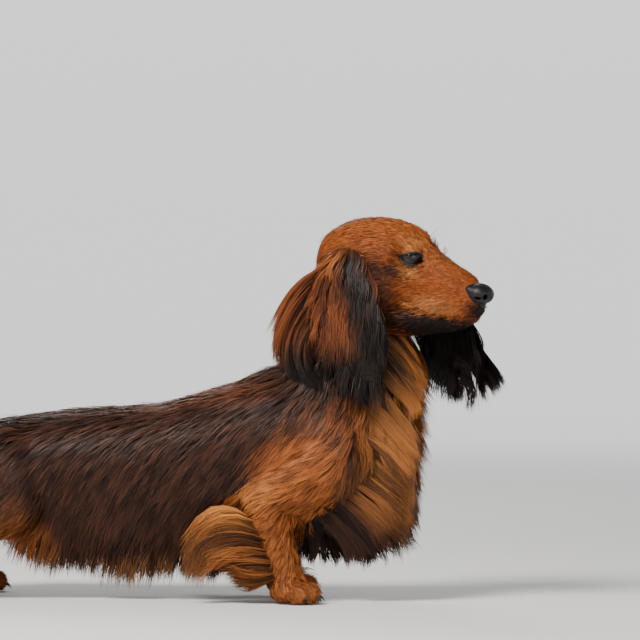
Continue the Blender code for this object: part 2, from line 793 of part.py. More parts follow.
def limb_cell(side, hind):
    """The space round one leg, which its piece fills."""
    masses = hindleg_masses(side) + breech(side) if hind else foreleg_masses(side) + fore_feather(side)
    fine = fused("cell", masses, 0.004, 4)
    wide = fattened(fine, LEG_MARGIN)
    cell = thinned("limb_cell", fused("wide", [wide], 0.004, 2), CELL_FACES)
    for spare in (fine, bpy.data.objects["wide"]):
        bpy.data.objects.remove(spare)
    low, high = sorted((LEG_INNER * side, LIMB_OUT * side))
    return boolean(cell, block("outer", (-1, low, -1), (1, high, 1)), "INTERSECT")


def parted(name, source, cells, cutters):
    """A copy of the source, kept inside the cells and outside the cutters."""
    node = new_object(name, source.data.copy())
    for cell in cells:
        boolean(node, cell, "INTERSECT")
    for cutter in cutters:
        boolean(node, cutter, "DIFFERENCE")
    return node


def eye_frame(side):
    """An eye's own frame, looking along x."""
    place = Vector((EYE_PLACE.x, EYE_PLACE.y * side, EYE_PLACE.z))
    return head_frame() @ Matrix.Translation(place) @ Matrix.Rotation(math.radians(EYE_LOOK * side), 4, "Z")


def eye_ball(name, side, radius, segments):
    return ball(name, (0, 0, 0), [radius] * 3, eye_frame(side), segments=segments)


def lid_ring(side):
    """The rims of both lids, as one closed almond round the eye."""
    reach = EYE_RADIUS + GAP + LID_THICKNESS
    steps, sides = 14, 4
    points = []
    for step in range(steps):
        angle = 2 * math.pi * step / steps
        y = LID_HALF_WIDTH * math.cos(angle)
        z = LID_HALF_HEIGHT * math.sin(angle)
        points.append(Vector((math.sqrt(reach**2 - y * y - z * z), y, z)))
    form = bmesh.new()
    loops = []
    for step, point in enumerate(points):
        along = (points[(step + 1) % steps] - points[step - 1]).normalized()
        out = point.normalized()
        rim = ring_of(point, out, along.cross(out), LID_THICKNESS, LID_THICKNESS, sides, 1.0)
        loops.append([form.verts.new(place) for place in rim])
    for first, second in zip(loops, loops[1:] + loops[:1]):
        for i in range(sides):
            j = (i + 1) % sides
            form.faces.new((first[i], first[j], second[j], second[i]))
    bmesh.ops.recalc_face_normals(form, faces=form.faces)
    mesh = bpy.data.meshes.new("lids")
    form.to_mesh(mesh)
    form.free()
    return new_object("lids", mesh, eye_frame(side))


def open_eye(skull, side):
    """Opens the socket of one eye and gives it its lids."""
    radii = (0.012, LID_HALF_WIDTH, LID_HALF_HEIGHT)
    opening = ball("opening", (0.012, 0, 0), radii, eye_frame(side), segments=12)
    # EXACT leaves open edges where the lids meet the socket
    socket = eye_ball("socket", side, EYE_RADIUS + GAP, EYE_SEGMENTS)
    boolean(socket, opening, "UNION", solver="MANIFOLD")
    boolean(skull, socket, "DIFFERENCE", solver="MANIFOLD")
    boolean(skull, lid_ring(side), "UNION", solver="MANIFOLD")


def nose_mass():
    """The nose leather's bulk, with a flat crown and full wings."""
    head = head_frame()
    pieces = [
        ball("nose", NOSE_PLACE, NOSE_SIZE, head, segments=28),
        ball("crown", NOSE_PLACE + Vector((-0.0030, 0, 0.0030)), (0.0090, 0.0120, 0.0068), head, segments=28),
        ball("lobe", NOSE_PLACE + Vector((-0.0020, 0, -0.0085)), (0.0085, 0.0050, 0.0065), head),
    ]
    for s in (1, -1):
        place = NOSE_PLACE + Vector((-0.0010, 0.0072 * s, -0.0012))
        pieces.append(ball("wing", place, (0.0085, 0.0062, 0.0078), head))
    fine = fused("nose_fine", pieces, 0.0009, 2)
    bulk = thinned("nose", fine, NOSE_FACES)
    bpy.data.objects.remove(fine)
    return bulk


def open_nostrils(nose):
    """The two nostrils and the groove between them."""
    head = head_frame()
    for s in (1, -1):
        hole = NOSE_PLACE + Vector((0.0080, 0.0058 * s, -0.0008))
        boolean(nose, ball("nostril", hole, (0.0060, 0.0024, 0.0028), head, (0, 12, 24 * s), 8), "DIFFERENCE")
        slit = NOSE_PLACE + Vector((0.0045, 0.0112 * s, -0.0030))
        boolean(nose, ball("slit", slit, (0.0062, 0.0032, 0.0012), head, (0, 8, 40 * s), 8), "DIFFERENCE")
    groove = NOSE_PLACE + Vector((0.0105, 0, -0.0060))
    boolean(nose, ball("groove", groove, (0.0036, 0.0006, 0.0100), head, (0, 14, 0), 8), "DIFFERENCE")


def ear_flap(name, side):
    """One hanging ear. Its front and back edges turn in, which leaves a shallow cup inside."""
    rows = smooth_rows(FAR_EAR if side > 0 else NEAR_EAR, 12)
    sides = 10
    rings = []
    for ahead, out, up, half_width, half_thickness in rows:
        ring = []
        for step in range(sides):
            angle = 2 * math.pi * step / sides
            wide = math.cos(angle)
            turn_in = EAR_CURL * wide**2 * min(1, half_width / 0.03)
            y = out - turn_in + half_thickness * math.sin(angle)
            ring.append(Vector((ahead + half_width * wide, y * side, up)))
        rings.append(ring)
    return loft(name, rings, head_frame(nod=0))


def coloured(nodes, material):
    for node in nodes:
        node.data.materials.clear()
        node.data.materials.append(material)


def gathered(nodes):
    """Puts the parts in the object's own collection, shaded smooth but for their sharp edges."""
    own = bpy.data.collections.new("dachshund")
    bpy.context.scene.collection.children.link(own)
    for node in nodes:
        bpy.context.scene.collection.objects.unlink(node)
        own.objects.link(node)
        node.data.shade_smooth()
        node.data.set_sharp_from_angle(angle=math.radians(SHARP_ANGLE))


def main():
    clear_scene()
    head = head_frame()
    whole = fused("whole", body_masses() + head_masses(), 0.0025, 5)
    body = thinned("body", whole, BODY_FACES)
    head_point = head @ Vector((HEAD_CUT[0], 0, HEAD_CUT[1]))
    head_normal = (head.to_3x3() @ Vector((HEAD_CUT[2], 0, HEAD_CUT[3]))).normalized()
    neck_point, neck_normal = Vector(NECK_CUT), Vector(NECK_NORMAL).normalized()

    def head_side(grow=0.0):
        return half_space("head_side", head_point - head_normal * grow, head_normal)

    def neck_side(grow=0.0):
        return half_space("neck_side", neck_point - neck_normal * grow, neck_normal)

    def tail_side(grow=0.0):
        low, high = TAIL_CELL
        return block("tail_side", low, (high[0] + grow, high[1], high[2]))

    def jaw_cell(grow=0.0):
        top = [(x, z + grow) for x, z in MOUTH_LINE]
        outline = top + [(0.110, top[-1][1] - 0.002), (0.110, -0.110), (-0.016 - grow, -0.110)]
        return prism("jaw_cell", outline, -0.06, 0.06, head)

    throat = ball("throat", (0.050, 0, 0.296), (0.037, 0.034, 0.045))
    fine_face = fused("fine_face", head_masses() + [throat], 0.0014, 8)
    face = thinned("face", fine_face, FACE_FACES)
    nose = nose_mass()
    nose_room = fattened(nose, 1.5 * GAP)
    skull = parted("head", face, [head_side()], [jaw_cell(GAP)])
    jaw = parted("lower_jaw", face, [head_side(), jaw_cell()], [])
    for piece in (skull, jaw):
        boolean(piece, nose_room, "DIFFERENCE", keep=True)
    open_nostrils(nose)
    eyes = []
    for side, word in ((-1, "right"), (1, "left")):
        open_eye(skull, side)
        eyes.append(eye_ball("eye_" + word, side, EYE_RADIUS, EYE_SEGMENTS))

    draw = random.Random(SEED)
    skin = surface_of([whole])
    rooms = [fattened(piece, GAP) for piece in (skull, jaw)]

    def finished(node, tufts, hugged=skin):
        """Cuts the node clear of those before it, with its locks rooted, and keeps its own place clear."""
        room = coated(node, hugged, tufts)
        # EXACT leaves open edges along the crossed locks
        for other in rooms:
            boolean(node, other, "DIFFERENCE", keep=True, solver="MANIFOLD")
        rooms.append(room)
        return node

    ears = []
    for side, word in ((-1, "right"), (1, "left")):
        ear = ear_flap("ear_" + word, side)
        ears.append(finished(ear, ear_locks(draw, side), surface_of([whole, ear])))
    legs, cells = [], []
    for side, word in ((-1, "right"), (1, "left")):
        for hind, kind in ((False, "foreleg"), (True, "hindleg")):
            cell = limb_cell(side, hind)
            cells.append(fattened(cell, GAP))
            leg = parted(f"{kind}_{word}", body, [cell], [neck_side(GAP), floor_cut()])
            for claw in claws(*foot_place(side, hind)):
                boolean(leg, claw, "UNION")
            tufts = hindleg_locks(draw, side) if hind else foreleg_locks(draw, side)
            legs.append(finished(leg, tufts, surface_of([leg])))
    tail = finished(parted("tail", body, [tail_side()], []), tail_locks(draw))
    neck = finished(parted("neck", body, [neck_side()], [head_side(GAP)]), neck_locks(draw))
    torso = parted("torso", body, [], [neck_side(GAP), tail_side(GAP), *cells])
    finished(torso, chest_locks(draw) + belly_locks(draw))

    for spare in (whole, body, fine_face, face, nose_room, *rooms):
        bpy.data.objects.remove(spare)
    coloured([skull, jaw], coat_material("face_coat", FACE_RED, 0.6))
    coloured([neck, torso], coat_material("body_coat", COAT_BROWN, 0.55))
    coloured(legs, coat_material("leg_coat", FEATHER_TAN, 0.6))
    coloured([tail], coat_material("tail_coat", TAIL_BROWN, 0.6))
    coloured(ears, coat_material("ear_coat", EAR_DARK, 0.5))
    coloured([nose], coat_material("nose_leather", NOSE_BLACK, 0.3))
    coloured(eyes, coat_material("eye", EYE_BROWN, 0.08))
    nodes = [skull, jaw, nose, *eyes, *ears, neck, torso, *legs, tail]
    centre_on_floor(nodes)
    gathered(nodes)


def floor_cut():
    """Everything below the level that the paws stand on."""
    return block("floor_cut", (-1, -1, -0.1), (1, 1, 0))


def centre_on_floor(nodes):
    """Moves the model so that its box is centred over the origin."""
    corners = np.array([vertex.co[:] for node in nodes for vertex in node.data.vertices])
    middle = (corners.min(axis=0) + corners.max(axis=0)) / 2
    shift = Matrix.Translation((-middle[0], -middle[1], 0))
    for node in nodes:
        node.data.transform(shift)


main()
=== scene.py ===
import json
import math

import bmesh
import bpy
import numpy as np
from mathutils import Euler, Matrix, Vector
from mathutils.bvhtree import BVHTree
from mathutils.kdtree import KDTree

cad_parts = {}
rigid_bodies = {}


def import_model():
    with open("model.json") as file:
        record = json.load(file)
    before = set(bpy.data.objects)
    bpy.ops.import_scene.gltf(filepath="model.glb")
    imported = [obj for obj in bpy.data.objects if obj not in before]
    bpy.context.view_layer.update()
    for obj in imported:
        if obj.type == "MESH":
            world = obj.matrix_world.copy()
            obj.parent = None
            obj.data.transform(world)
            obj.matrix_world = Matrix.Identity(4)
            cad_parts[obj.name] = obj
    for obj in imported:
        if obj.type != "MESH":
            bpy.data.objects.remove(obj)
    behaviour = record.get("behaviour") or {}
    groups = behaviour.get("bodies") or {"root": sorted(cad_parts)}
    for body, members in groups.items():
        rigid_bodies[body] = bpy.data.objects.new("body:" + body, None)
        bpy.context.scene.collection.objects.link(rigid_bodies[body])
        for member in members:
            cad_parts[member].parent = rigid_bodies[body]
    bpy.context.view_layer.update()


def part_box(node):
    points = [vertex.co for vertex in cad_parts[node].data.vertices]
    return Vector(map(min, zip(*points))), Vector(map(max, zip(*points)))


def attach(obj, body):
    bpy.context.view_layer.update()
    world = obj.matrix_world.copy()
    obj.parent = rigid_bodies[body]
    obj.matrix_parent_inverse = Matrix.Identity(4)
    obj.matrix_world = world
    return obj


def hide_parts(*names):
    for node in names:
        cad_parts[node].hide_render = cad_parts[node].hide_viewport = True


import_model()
print("frame loaded")

# Everything is made in the dog's own frame, x along the back, y to its left, z up from the soles,
# and moved at the end to where the frame's eyes are.

headPose = {
    "place": Vector((0.1090, -0.030, 0.342)),  # midway between the eyes
    "turn": -26,
    "nod": 10,
}
eyeSet = {
    "place": (-0.0038, 0.0160, -0.001),
    "look": 52,  # how far each eye looks out from straight ahead, in degrees
    "radius": 0.0120,
    "hole": ((0.001, 1.06), (0.024, 1.10)),  # the cut through the skin: depth and share of the opening
    "gap": 0.00025,  # between the eyeball and its socket
    "lidGap": 0.00015,
    "cornea": (0.75, 0.05),  # its reach in radians and its height as a share of the radius
    "irisReach": 1.3,  # in radians, where the colours of the eye end
    "bare": 1.24,  # how far round the opening no hair grows
    "bareAhead": 0.0022,  # and how far that patch sits towards the nose, where the hair lies back
    "cover": 0.0006,  # how thick the skin is over the eyeball
    "basinReach": 0.026,
    "basinEdge": 0.005,
    "basin": (84, 122),  # how far round from its look the skin follows the eyeball, and where that ends
    # the opening's outline, towards the nose and up, in millimetres
    "opening": (
        (-11.2, -0.2), (-7.2, 2.4), (-1.2, 4.6), (4.2, 5.6), (8.2, 4.0), (11.2, -1.6),
        (8.0, -4.0), (2.2, -5.2), (-4.2, -4.7), (-8.8, -2.7),
    ),
    # the lids' section: away from the opening and out from the eyeball, in millimetres
    "lid": (
        (0.0, -0.9), (-0.1, 0.2), (0.05, 0.8), (0.45, 1.25), (1.0, 1.40), (1.7, 1.2),
        (2.5, 0.5), (2.8, -0.5), (1.8, -1.4), (0.8, -1.4),
    ),
}


def headFrame(nod=headPose["nod"]):
    turn = Euler((0, math.radians(nod), math.radians(headPose["turn"]))).to_matrix().to_4x4()
    return Matrix.Translation(headPose["place"]) @ turn


def eyeFrame(side):
    x, y, z = eyeSet["place"]
    turn = Matrix.Rotation(math.radians(eyeSet["look"] * side), 4, "Z")
    return headFrame() @ Matrix.Translation((x, y * side, z)) @ turn


def middleOf(nodes):
    corners = [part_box(node) for node in nodes]
    return sum(((low + high) / 2 for low, high in corners), Vector()) / len(corners)


drawnEyes = (eyeFrame(1).translation + eyeFrame(-1).translation) / 2
dogShift = middleOf(["eye_right", "eye_left"]) - drawnEyes
dogShift.z = 0  # the soles stand on the floor in both


def milli(value):
    # sizes in millimetres as metres, and colours in thousandths as shares, however deep in rows
    if isinstance(value, tuple):
        return tuple(milli(part) for part in value)
    return round(value / 1000, 7)


def lieRows(rows):
    return [(kind, milli(place), lie, length) for kind, place, lie, length in rows]


def markRows(rows):
    return [
        (milli(place), milli(radii), edge, milli(light), milli(dark))
        for place, radii, edge, light, dark in rows
    ]


# Rows of places and sizes are in millimetres, and single values in metres.
# Trunk: place along the back, top, bottom, half width
trunkRows = milli((
    (92, 176, 128, 18), (80, 196, 102, 40), (55, 212, 78, 55), (20, 224, 64, 62), (-30, 229, 60, 66),
    (-87, 216, 58, 68), (-125, 205, 58, 69), (-165, 195, 60, 69), (-240, 190, 66, 67), (-310, 181, 74, 65),
    (-355, 172, 86, 58), (-384, 160, 100, 44), (-402, 142, 118, 20),
))
# Neck and limbs: x, y, z, half width, half depth, on the left side
neckRows = milli((
    (-4, 0, 160, 56, 66), (14, 0, 212, 48, 58), (30, 0, 252, 41, 48), (43, 0, 288, 38, 43),
    (50, 0, 316, 35, 38), (56, -1, 336, 30, 32),
))
upperArmRows = milli((
    (34, 44, 158, 22, 26), (30, 49, 140, 24, 32), (-8, 55, 122, 23, 30), (-44, 58, 106, 20, 24),
    (-58, 58, 98, 14, 14),
))
forearmRows = milli((
    (-48, 58, 112, 18, 22), (-44, 59, 92, 19, 22), (-34, 57, 62, 16, 18), (-26, 55, 40, 15, 16),
    (-21, 55, 22, 16, 16.5), (-18, 55, 8, 16.5, 17),
))
thighRows = milli((
    (-335, 30, 165, 26, 40), (-328, 44, 138, 30, 50), (-305, 56, 108, 24, 38), (-292, 60, 90, 16, 22),
))
shankRows = milli((
    (-294, 60, 98, 18, 22), (-325, 60, 82, 17, 22), (-356, 59, 66, 14, 16), (-372, 59, 56, 12, 14),
    (-373, 59, 40, 12.5, 13), (-368, 60, 22, 14, 14.5), (-362, 60, 8, 15.5, 16),
))
tailRows = milli((
    (-365, 0, 150, 28, 24), (-400, 0, 150, 19, 18), (-450, 0, 150, 12, 12), (-520, 2, 144, 9, 9),
    (-580, 6, 148, 6.5, 6.5), (-630, 10, 160, 3, 3),
))
# Head, in its own frame: place, top, bottom, half width
skullRows = milli((
    (-114, 0, -40, 16), (-104, 11, -50, 31), (-82, 24, -60, 41), (-56, 30.5, -66, 43.5),
    (-30, 30.5, -66, 42), (-12, 26.5, -60, 38), (3, 19, -56, 28.8), (15, 10, -54.5, 22.6),
    (30, 2, -53.5, 21.3), (46, -3.5, -52.5, 20), (60, -8.5, -50, 16.8), (70.5, -16.5, -46.5, 12),
    (77, -25, -41, 7),
))
jawRows = milli((
    (-60, -48, -76, 20), (-36, -46, -82, 28), (0, -46, -78, 24), (28, -46, -70, 19), (52, -45, -62.5, 15.8),
    (67, -42, -55, 12), (75, -42, -49, 6.5),
))
mouthLine = milli((
    (-4, -42.5), (4, -45), (16, -50.5), (34, -53.5), (52, -52.5), (66, -49), (78, -43),
))
# Ear leather, in the level head's frame: forward, out, up, half width, half thickness
nearEarRows = milli((
    (-64, 26, 10, 12, 5), (-64, 40, 7, 18, 5), (-66, 51, -12, 31, 4.2), (-66, 56, -38, 43, 3.4),
    (-61, 57, -64, 49, 2.8), (-52, 57, -86, 44, 2.4), (-44, 56.5, -106, 24, 1.8),
))
farEarRows = milli((
    (-64, 26, 10, 12, 5), (-62, 40, 7, 17, 5), (-49, 51, -12, 25, 4.2), (-30, 56, -38, 31, 3.4),
    (-10, 57, -64, 31, 2.8), (4, 57, -88, 25, 2.4), (12, 56.5, -105, 11, 1.8),
))
paws = {
    "fore": {"place": (-0.0165, 0.057), "yaw": 12, "slim": 1.0, "stagger": -0.024},
    "hind": {"place": (-0.352, 0.061), "yaw": 6, "slim": 0.92, "stagger": -0.014},
    "toes": milli(((9, -14.5, 10), (16.2, -5.2, 11.2), (16.2, 5.2, 11.2), (9, 14.5, 10))),
}
skinMaking = {
    "bodyVoxel": 0.0024,
    "headVoxel": 0.0011,
    "bodyEase": 5,
    "headEase": 4,
    "coatReach": 0.12,  # how far the flesh fills out under the long coat
    "earCurl": 0.0065,
}


def smoothRows(rows, count):
    rows = np.array(rows, float)
    padded = np.vstack([2 * rows[0] - rows[1], rows, 2 * rows[-1] - rows[-2]])
    found = []
    for place in np.linspace(0, len(rows) - 1, count):
        start = min(int(place), len(rows) - 2)
        t = place - start
        a, b, c, d = padded[start : start + 4]
        bend = (2 * a - 5 * b + 4 * c - d) * t * t + (3 * b - a - 3 * c + d) * t**3
        found.append(0.5 * (2 * b + (c - a) * t + bend))
    return found


def closedCurve(points, count):
    points = np.array(points, float)
    found = []
    for place in np.arange(count) * len(points) / count:
        t, start = place % 1, int(place)
        a, b, c, d = (points[(start + i) % len(points)] for i in (-1, 0, 1, 2))
        bend = (2 * a - 5 * b + 4 * c - d) * t * t + (3 * b - a - 3 * c + d) * t**3
        found.append(0.5 * (2 * b + (c - a) * t + bend))
    return np.array(found)


def newObject(name, mesh, matrix=None):
    thing = bpy.data.objects.new(name, mesh)
    bpy.context.scene.collection.objects.link(thing)
    if matrix is not None:
        mesh.transform(matrix)
    return thing


def meshFrom(name, form):
    mesh = bpy.data.meshes.new(name)
    form.to_mesh(mesh)
    form.free()
    return mesh


def loft(name, rings, matrix=None, closed=False):
    form = bmesh.new()
    loops = [[form.verts.new(point) for point in ring] for ring in rings]
    follows = loops[1:] + loops[:1] if closed else loops[1:]
    for first, second in zip(loops, follows):
        for i in range(len(first)):
            j = (i + 1) % len(first)
            form.faces.new((first[i], first[j], second[j], second[i]))
    if not closed:
        form.faces.new(loops[0][::-1])
        form.faces.new(loops[-1])
    bmesh.ops.recalc_face_normals(form, faces=form.faces)
    return newObject(name, meshFrom(name, form), matrix)


def ringOf(centre, across, upward, halfWidth, halfDepth, sides, fullness=1.0):
    ring = []
    for step in range(sides):
        angle = 2 * math.pi * step / sides
        c, s = math.cos(angle), math.sin(angle)
        wide = math.copysign(abs(c) ** fullness, c) * halfWidth
        deep = math.copysign(abs(s) ** fullness, s) * halfDepth
        ring.append(centre + across * wide + upward * deep)
    return ring


def bodyLoft(name, rows, matrix=None, count=40, sides=32, fullness=0.92):
    across, upward = Vector((0, 1, 0)), Vector((0, 0, 1))
    rings = []
    for x, top, bottom, halfWidth in smoothRows(rows, count):
        centre = Vector((x, 0, (top + bottom) / 2))
        rings.append(ringOf(centre, across, upward, halfWidth, (top - bottom) / 2, sides, fullness))
    return loft(name, rings, matrix)


def limbLoft(name, rows, matrix=None, side=1, count=20, sides=16):
    rows = smoothRows(rows, count)
    centres = [Vector((row[0], row[1] * side, row[2])) for row in rows]
    rings = []
    for i, row in enumerate(rows):
        along = (centres[min(i + 1, count - 1)] - centres[max(i - 1, 0)]).normalized()
        flat = Vector((0, 1, 0))
        flat = (flat - along * along.dot(flat)).normalized()
        rings.append(ringOf(centres[i], flat, along.cross(flat), row[3], row[4], sides))
    return loft(name, rings, matrix)


def ball(name, centre, radii, matrix=None, turn=(0, 0, 0), segments=24):
    form = bmesh.new()
    bmesh.ops.create_uvsphere(form, u_segments=segments, v_segments=segments // 2, radius=1)
    mesh = meshFrom(name, form)
    own = Euler([math.radians(a) for a in turn]).to_matrix().to_4x4()
    mesh.transform(Matrix.Translation(centre) @ own @ Matrix.Diagonal((*radii, 1)))
    return newObject(name, mesh, matrix)


def applied(thing):
    graph = bpy.context.evaluated_depsgraph_get()
    mesh = bpy.data.meshes.new_from_object(thing.evaluated_get(graph))
    thing.modifiers.clear()
    thing.data = mesh
    return thing


def fused(name, pieces, voxel, rounds):
    form = bmesh.new()
    for piece in pieces:
        form.from_mesh(piece.data)
        bpy.data.objects.remove(piece)
    whole = newObject(name, meshFrom(name, form))
    skin = whole.modifiers.new("skin", "REMESH")
    skin.mode = "VOXEL"
    skin.voxel_size = voxel
    ease = whole.modifiers.new("ease", "SMOOTH")
    ease.factor = 0.5
    ease.iterations = rounds
    return applied(whole)


def boolean(thing, other, operation):
    cut = thing.modifiers.new("cut", "BOOLEAN")
    cut.solver = "MANIFOLD"
    cut.operation = operation
    cut.object = other
    applied(thing)
    bpy.data.objects.remove(other)
    return thing


def footFrame(kind, side):
    foot = paws[kind]
    x = foot["place"][0] + (foot["stagger"] if side > 0 else 0)
    turn = Matrix.Rotation(math.radians(foot["yaw"] * side), 4, "Z")
    return Matrix.Translation((x, foot["place"][1] * side, 0)) @ turn


def limbShift(kind, side):
    return Matrix.Translation((paws[kind]["stagger"] if side > 0 else 0, 0, 0))


def pawMasses(kind, side):
    slim, place = paws[kind]["slim"], footFrame(kind, side)
    pieces = [ball("paw", (-0.004, 0, 0.0125), (0.021, 0.0185 * slim, 0.0125), place)]
    for ahead, out, height in paws["toes"]:
        pieces.append(ball("toe", (ahead, out * side * slim, height), (0.0118, 0.0053, height), place))
    return pieces


def bodyMasses():
    shoulder, size = Vector((0.020, 0.046, 0.158)), (0.046, 0.020, 0.046)
    trunk = fused("trunk", [
        bodyLoft("trunk", trunkRows),
        limbLoft("neck", neckRows),
        ball("withers", (-0.035, 0, 0.196), (0.060, 0.040, 0.036)),
        ball("croup", (-0.345, 0, 0.140), (0.046, 0.052, 0.036)),
        ball("shoulder", shoulder, size, turn=(12, 30, 0)),
        ball("shoulder", shoulder * Vector((1, -1, 1)), size, turn=(-12, 30, 0)),
        ball("nape", (0.022, 0.010, 0.322), (0.030, 0.031, 0.046), turn=(0, 12, 0)),
        *[limbLoft("thigh", thighRows, side=s) for s in (1, -1)],
    ], 0.004, 10)
    r = skinMaking["coatReach"]
    pieces = [
        trunk,
        limbLoft("tail", tailRows),
        ball("ruff", (0.056, 0, 0.212), (0.032 + 0.020 * r, 0.043, 0.072)),
        ball("bib", (0.046, 0, 0.134), (0.036 + 0.022 * r, 0.048, 0.064)),
        ball("brisket", (-0.004, 0, 0.078), (0.070, 0.036, 0.018 + 0.020 * r)),
    ]
    for side in (1, -1):
        fore, hind = limbShift("fore", side), limbShift("hind", side)
        pieces += [
            limbLoft("upperArm", upperArmRows, side=side),
            ball("elbow", (-0.052, 0.059 * side, 0.103), (0.018, 0.0165, 0.020)),
            limbLoft("forearm", forearmRows, fore, side=side),
            *pawMasses("fore", side),
            ball("stifle", (-0.294, 0.060 * side, 0.098), (0.020, 0.018, 0.024)),
            limbLoft("shank", shankRows, hind, side=side),
            ball("hock", (-0.373, 0.059 * side, 0.060), (0.0125, 0.0115, 0.0150), hind),
            *pawMasses("hind", side),
        ]
    return pieces


headForms = (
    # name, centre, radii, turn, on one side and mirrored
    ("brow", (-2, 16.5, 10), (19, 12, 9.2), (0, 26, -22)),
    ("cheekbone", (-10, 21.5, -19), (26, 11, 11), (0, 10, -22)),
    ("cheek", (-36, 29.5, -32), (31, 14, 29), (0, 0, 0)),
    ("lip", (42, 12.5, -40.5), (34, 9.8, 14), (0, -5, -9)),
)


def headMasses():
    head = headFrame()
    pieces = [
        bodyLoft("skull", skullRows, head, sides=40, fullness=0.88, count=60),
        bodyLoft("jaw", jawRows, head, sides=28, fullness=0.9),
        ball("throat", (0.050, 0, 0.296), (0.037, 0.034, 0.045)),
    ]
    for side in (1, -1):
        for name, centre, radii, (roll, pitch, yaw) in headForms:
            x, y, z = milli(centre)
            turn = (roll, pitch, yaw * side)
            pieces.append(ball(name, (x, y * side, z), milli(radii), head, turn, 32))
    return pieces


def earFlap(name, rows, side):
    rings = []
    for ahead, out, up, halfWidth, halfThickness in smoothRows(rows, 40):
        ring = []
        for step in range(32):
            angle = 2 * math.pi * step / 32
            wide = math.cos(angle)
            turnIn = skinMaking["earCurl"] * wide**2 * min(1, halfWidth / 0.03)
            y = out - turnIn + halfThickness * math.sin(angle)
            ring.append(Vector((ahead + halfWidth * wide, y * side, up)))
        rings.append(ring)
    return loft(name, rings, headFrame(nod=0))


def meshArrays(thing):
    mesh = thing.data
    mesh.calc_loop_triangles()
    points = np.empty(len(mesh.vertices) * 3)
    mesh.vertices.foreach_get("co", points)
    normals = np.empty(len(mesh.vertices) * 3)
    mesh.vertices.foreach_get("normal", normals)
    corners = np.empty(len(mesh.loop_triangles) * 3, np.int32)
    mesh.loop_triangles.foreach_get("vertices", corners)
    return points.reshape(-1, 3), normals.reshape(-1, 3), corners.reshape(-1, 3)


def treeOf(points, corners):
    return BVHTree.FromPolygons(points.tolist(), corners.tolist())


def nearestOn(tree, points):
    found = [tree.find_nearest(point)[:3] for point in points.tolist()]
    near = np.array([place[:] for place, _, _ in found])
    normals = np.array([normal[:] for _, normal, _ in found])
    return near, normals, np.array([index for _, _, index in found])


def unit(vectors):
    return vectors / np.maximum(np.linalg.norm(vectors, axis=-1, keepdims=True), 1e-9)


# How the hair of each kind lies: its length is set row by row, the rest here, in millimetres.
# depth: how high the coat stands, hug: how closely it follows the skin, hang: whether it falls free
# under the body, droop: how soon it hangs, clump: how far its strands draw together,
# spacing: between clumps, wave: its sway, width of a hair, density to the square centimetre, steps
# along a hair
hairKeys = ("depth", "hug", "hang", "droop", "clump", "spacing", "wave", "width", "density",
    "steps")
hairRows = (
    ("back", 4, 0.95, 1, 0.03, 0.4, 5, 0.6, 0.9, 30, 4),
    ("flank", 4.5, 0.92, 1, 0.05, 0.45, 5.5, 0.9, 0.92, 30, 4),
    ("shoulder", 3.6, 0.93, 1, 0.03, 0.42, 5, 0.8, 0.85, 33, 4),
    ("arm", 2.6, 0.95, 0, 0.02, 0.4, 4.5, 0.8, 0.74, 37, 3),
    ("neck", 6, 0.8, 1, 0.08, 0.6, 7, 1.8, 0.85, 38, 5),
    ("chest", 8, 0.42, 1, 0.05, 0.84, 11, 3.4, 0.8, 36, 6),
    ("fringe", 6, 0.3, 1, 0.14, 0.7, 8, 2.6, 0.85, 36, 5),
    ("leg", 1.5, 0.95, 0, 0, 0.3, 3, 0.3, 0.6, 38, 3),
    ("feather", 2, 0.1, 1, 0.14, 0.76, 5.5, 3, 0.7, 50, 6),
    ("paw", 0.8, 0.96, 0, 0, 0.2, 2.4, 0.1, 0.5, 60, 3),
    ("flag", 3, 0.1, 1, 0.14, 0.72, 6, 2.6, 0.85, 80, 6),
    ("skull", 1.3, 0.95, 0, 0, 0.35, 3.2, 0.4, 0.42, 92, 3),
    ("cheek", 1.2, 0.95, 0, 0, 0.35, 3.2, 0.4, 0.42, 92, 3),
    ("muzzle", 0.5, 0.97, 0, 0, 0.15, 2, 0.1, 0.36, 150, 2),
    ("ear", 5, 0.7, 1, 0.08, 0.72, 6.5, 3.4, 0.75, 62, 7),
    ("earInside", 2, 0.85, 1, 0.02, 0.4, 4, 0.8, 0.7, 24, 4),
)
fieldKeys = hairKeys[:-1]
hairKinds = {name: dict(zip(hairKeys, values)) for name, *values in hairRows}

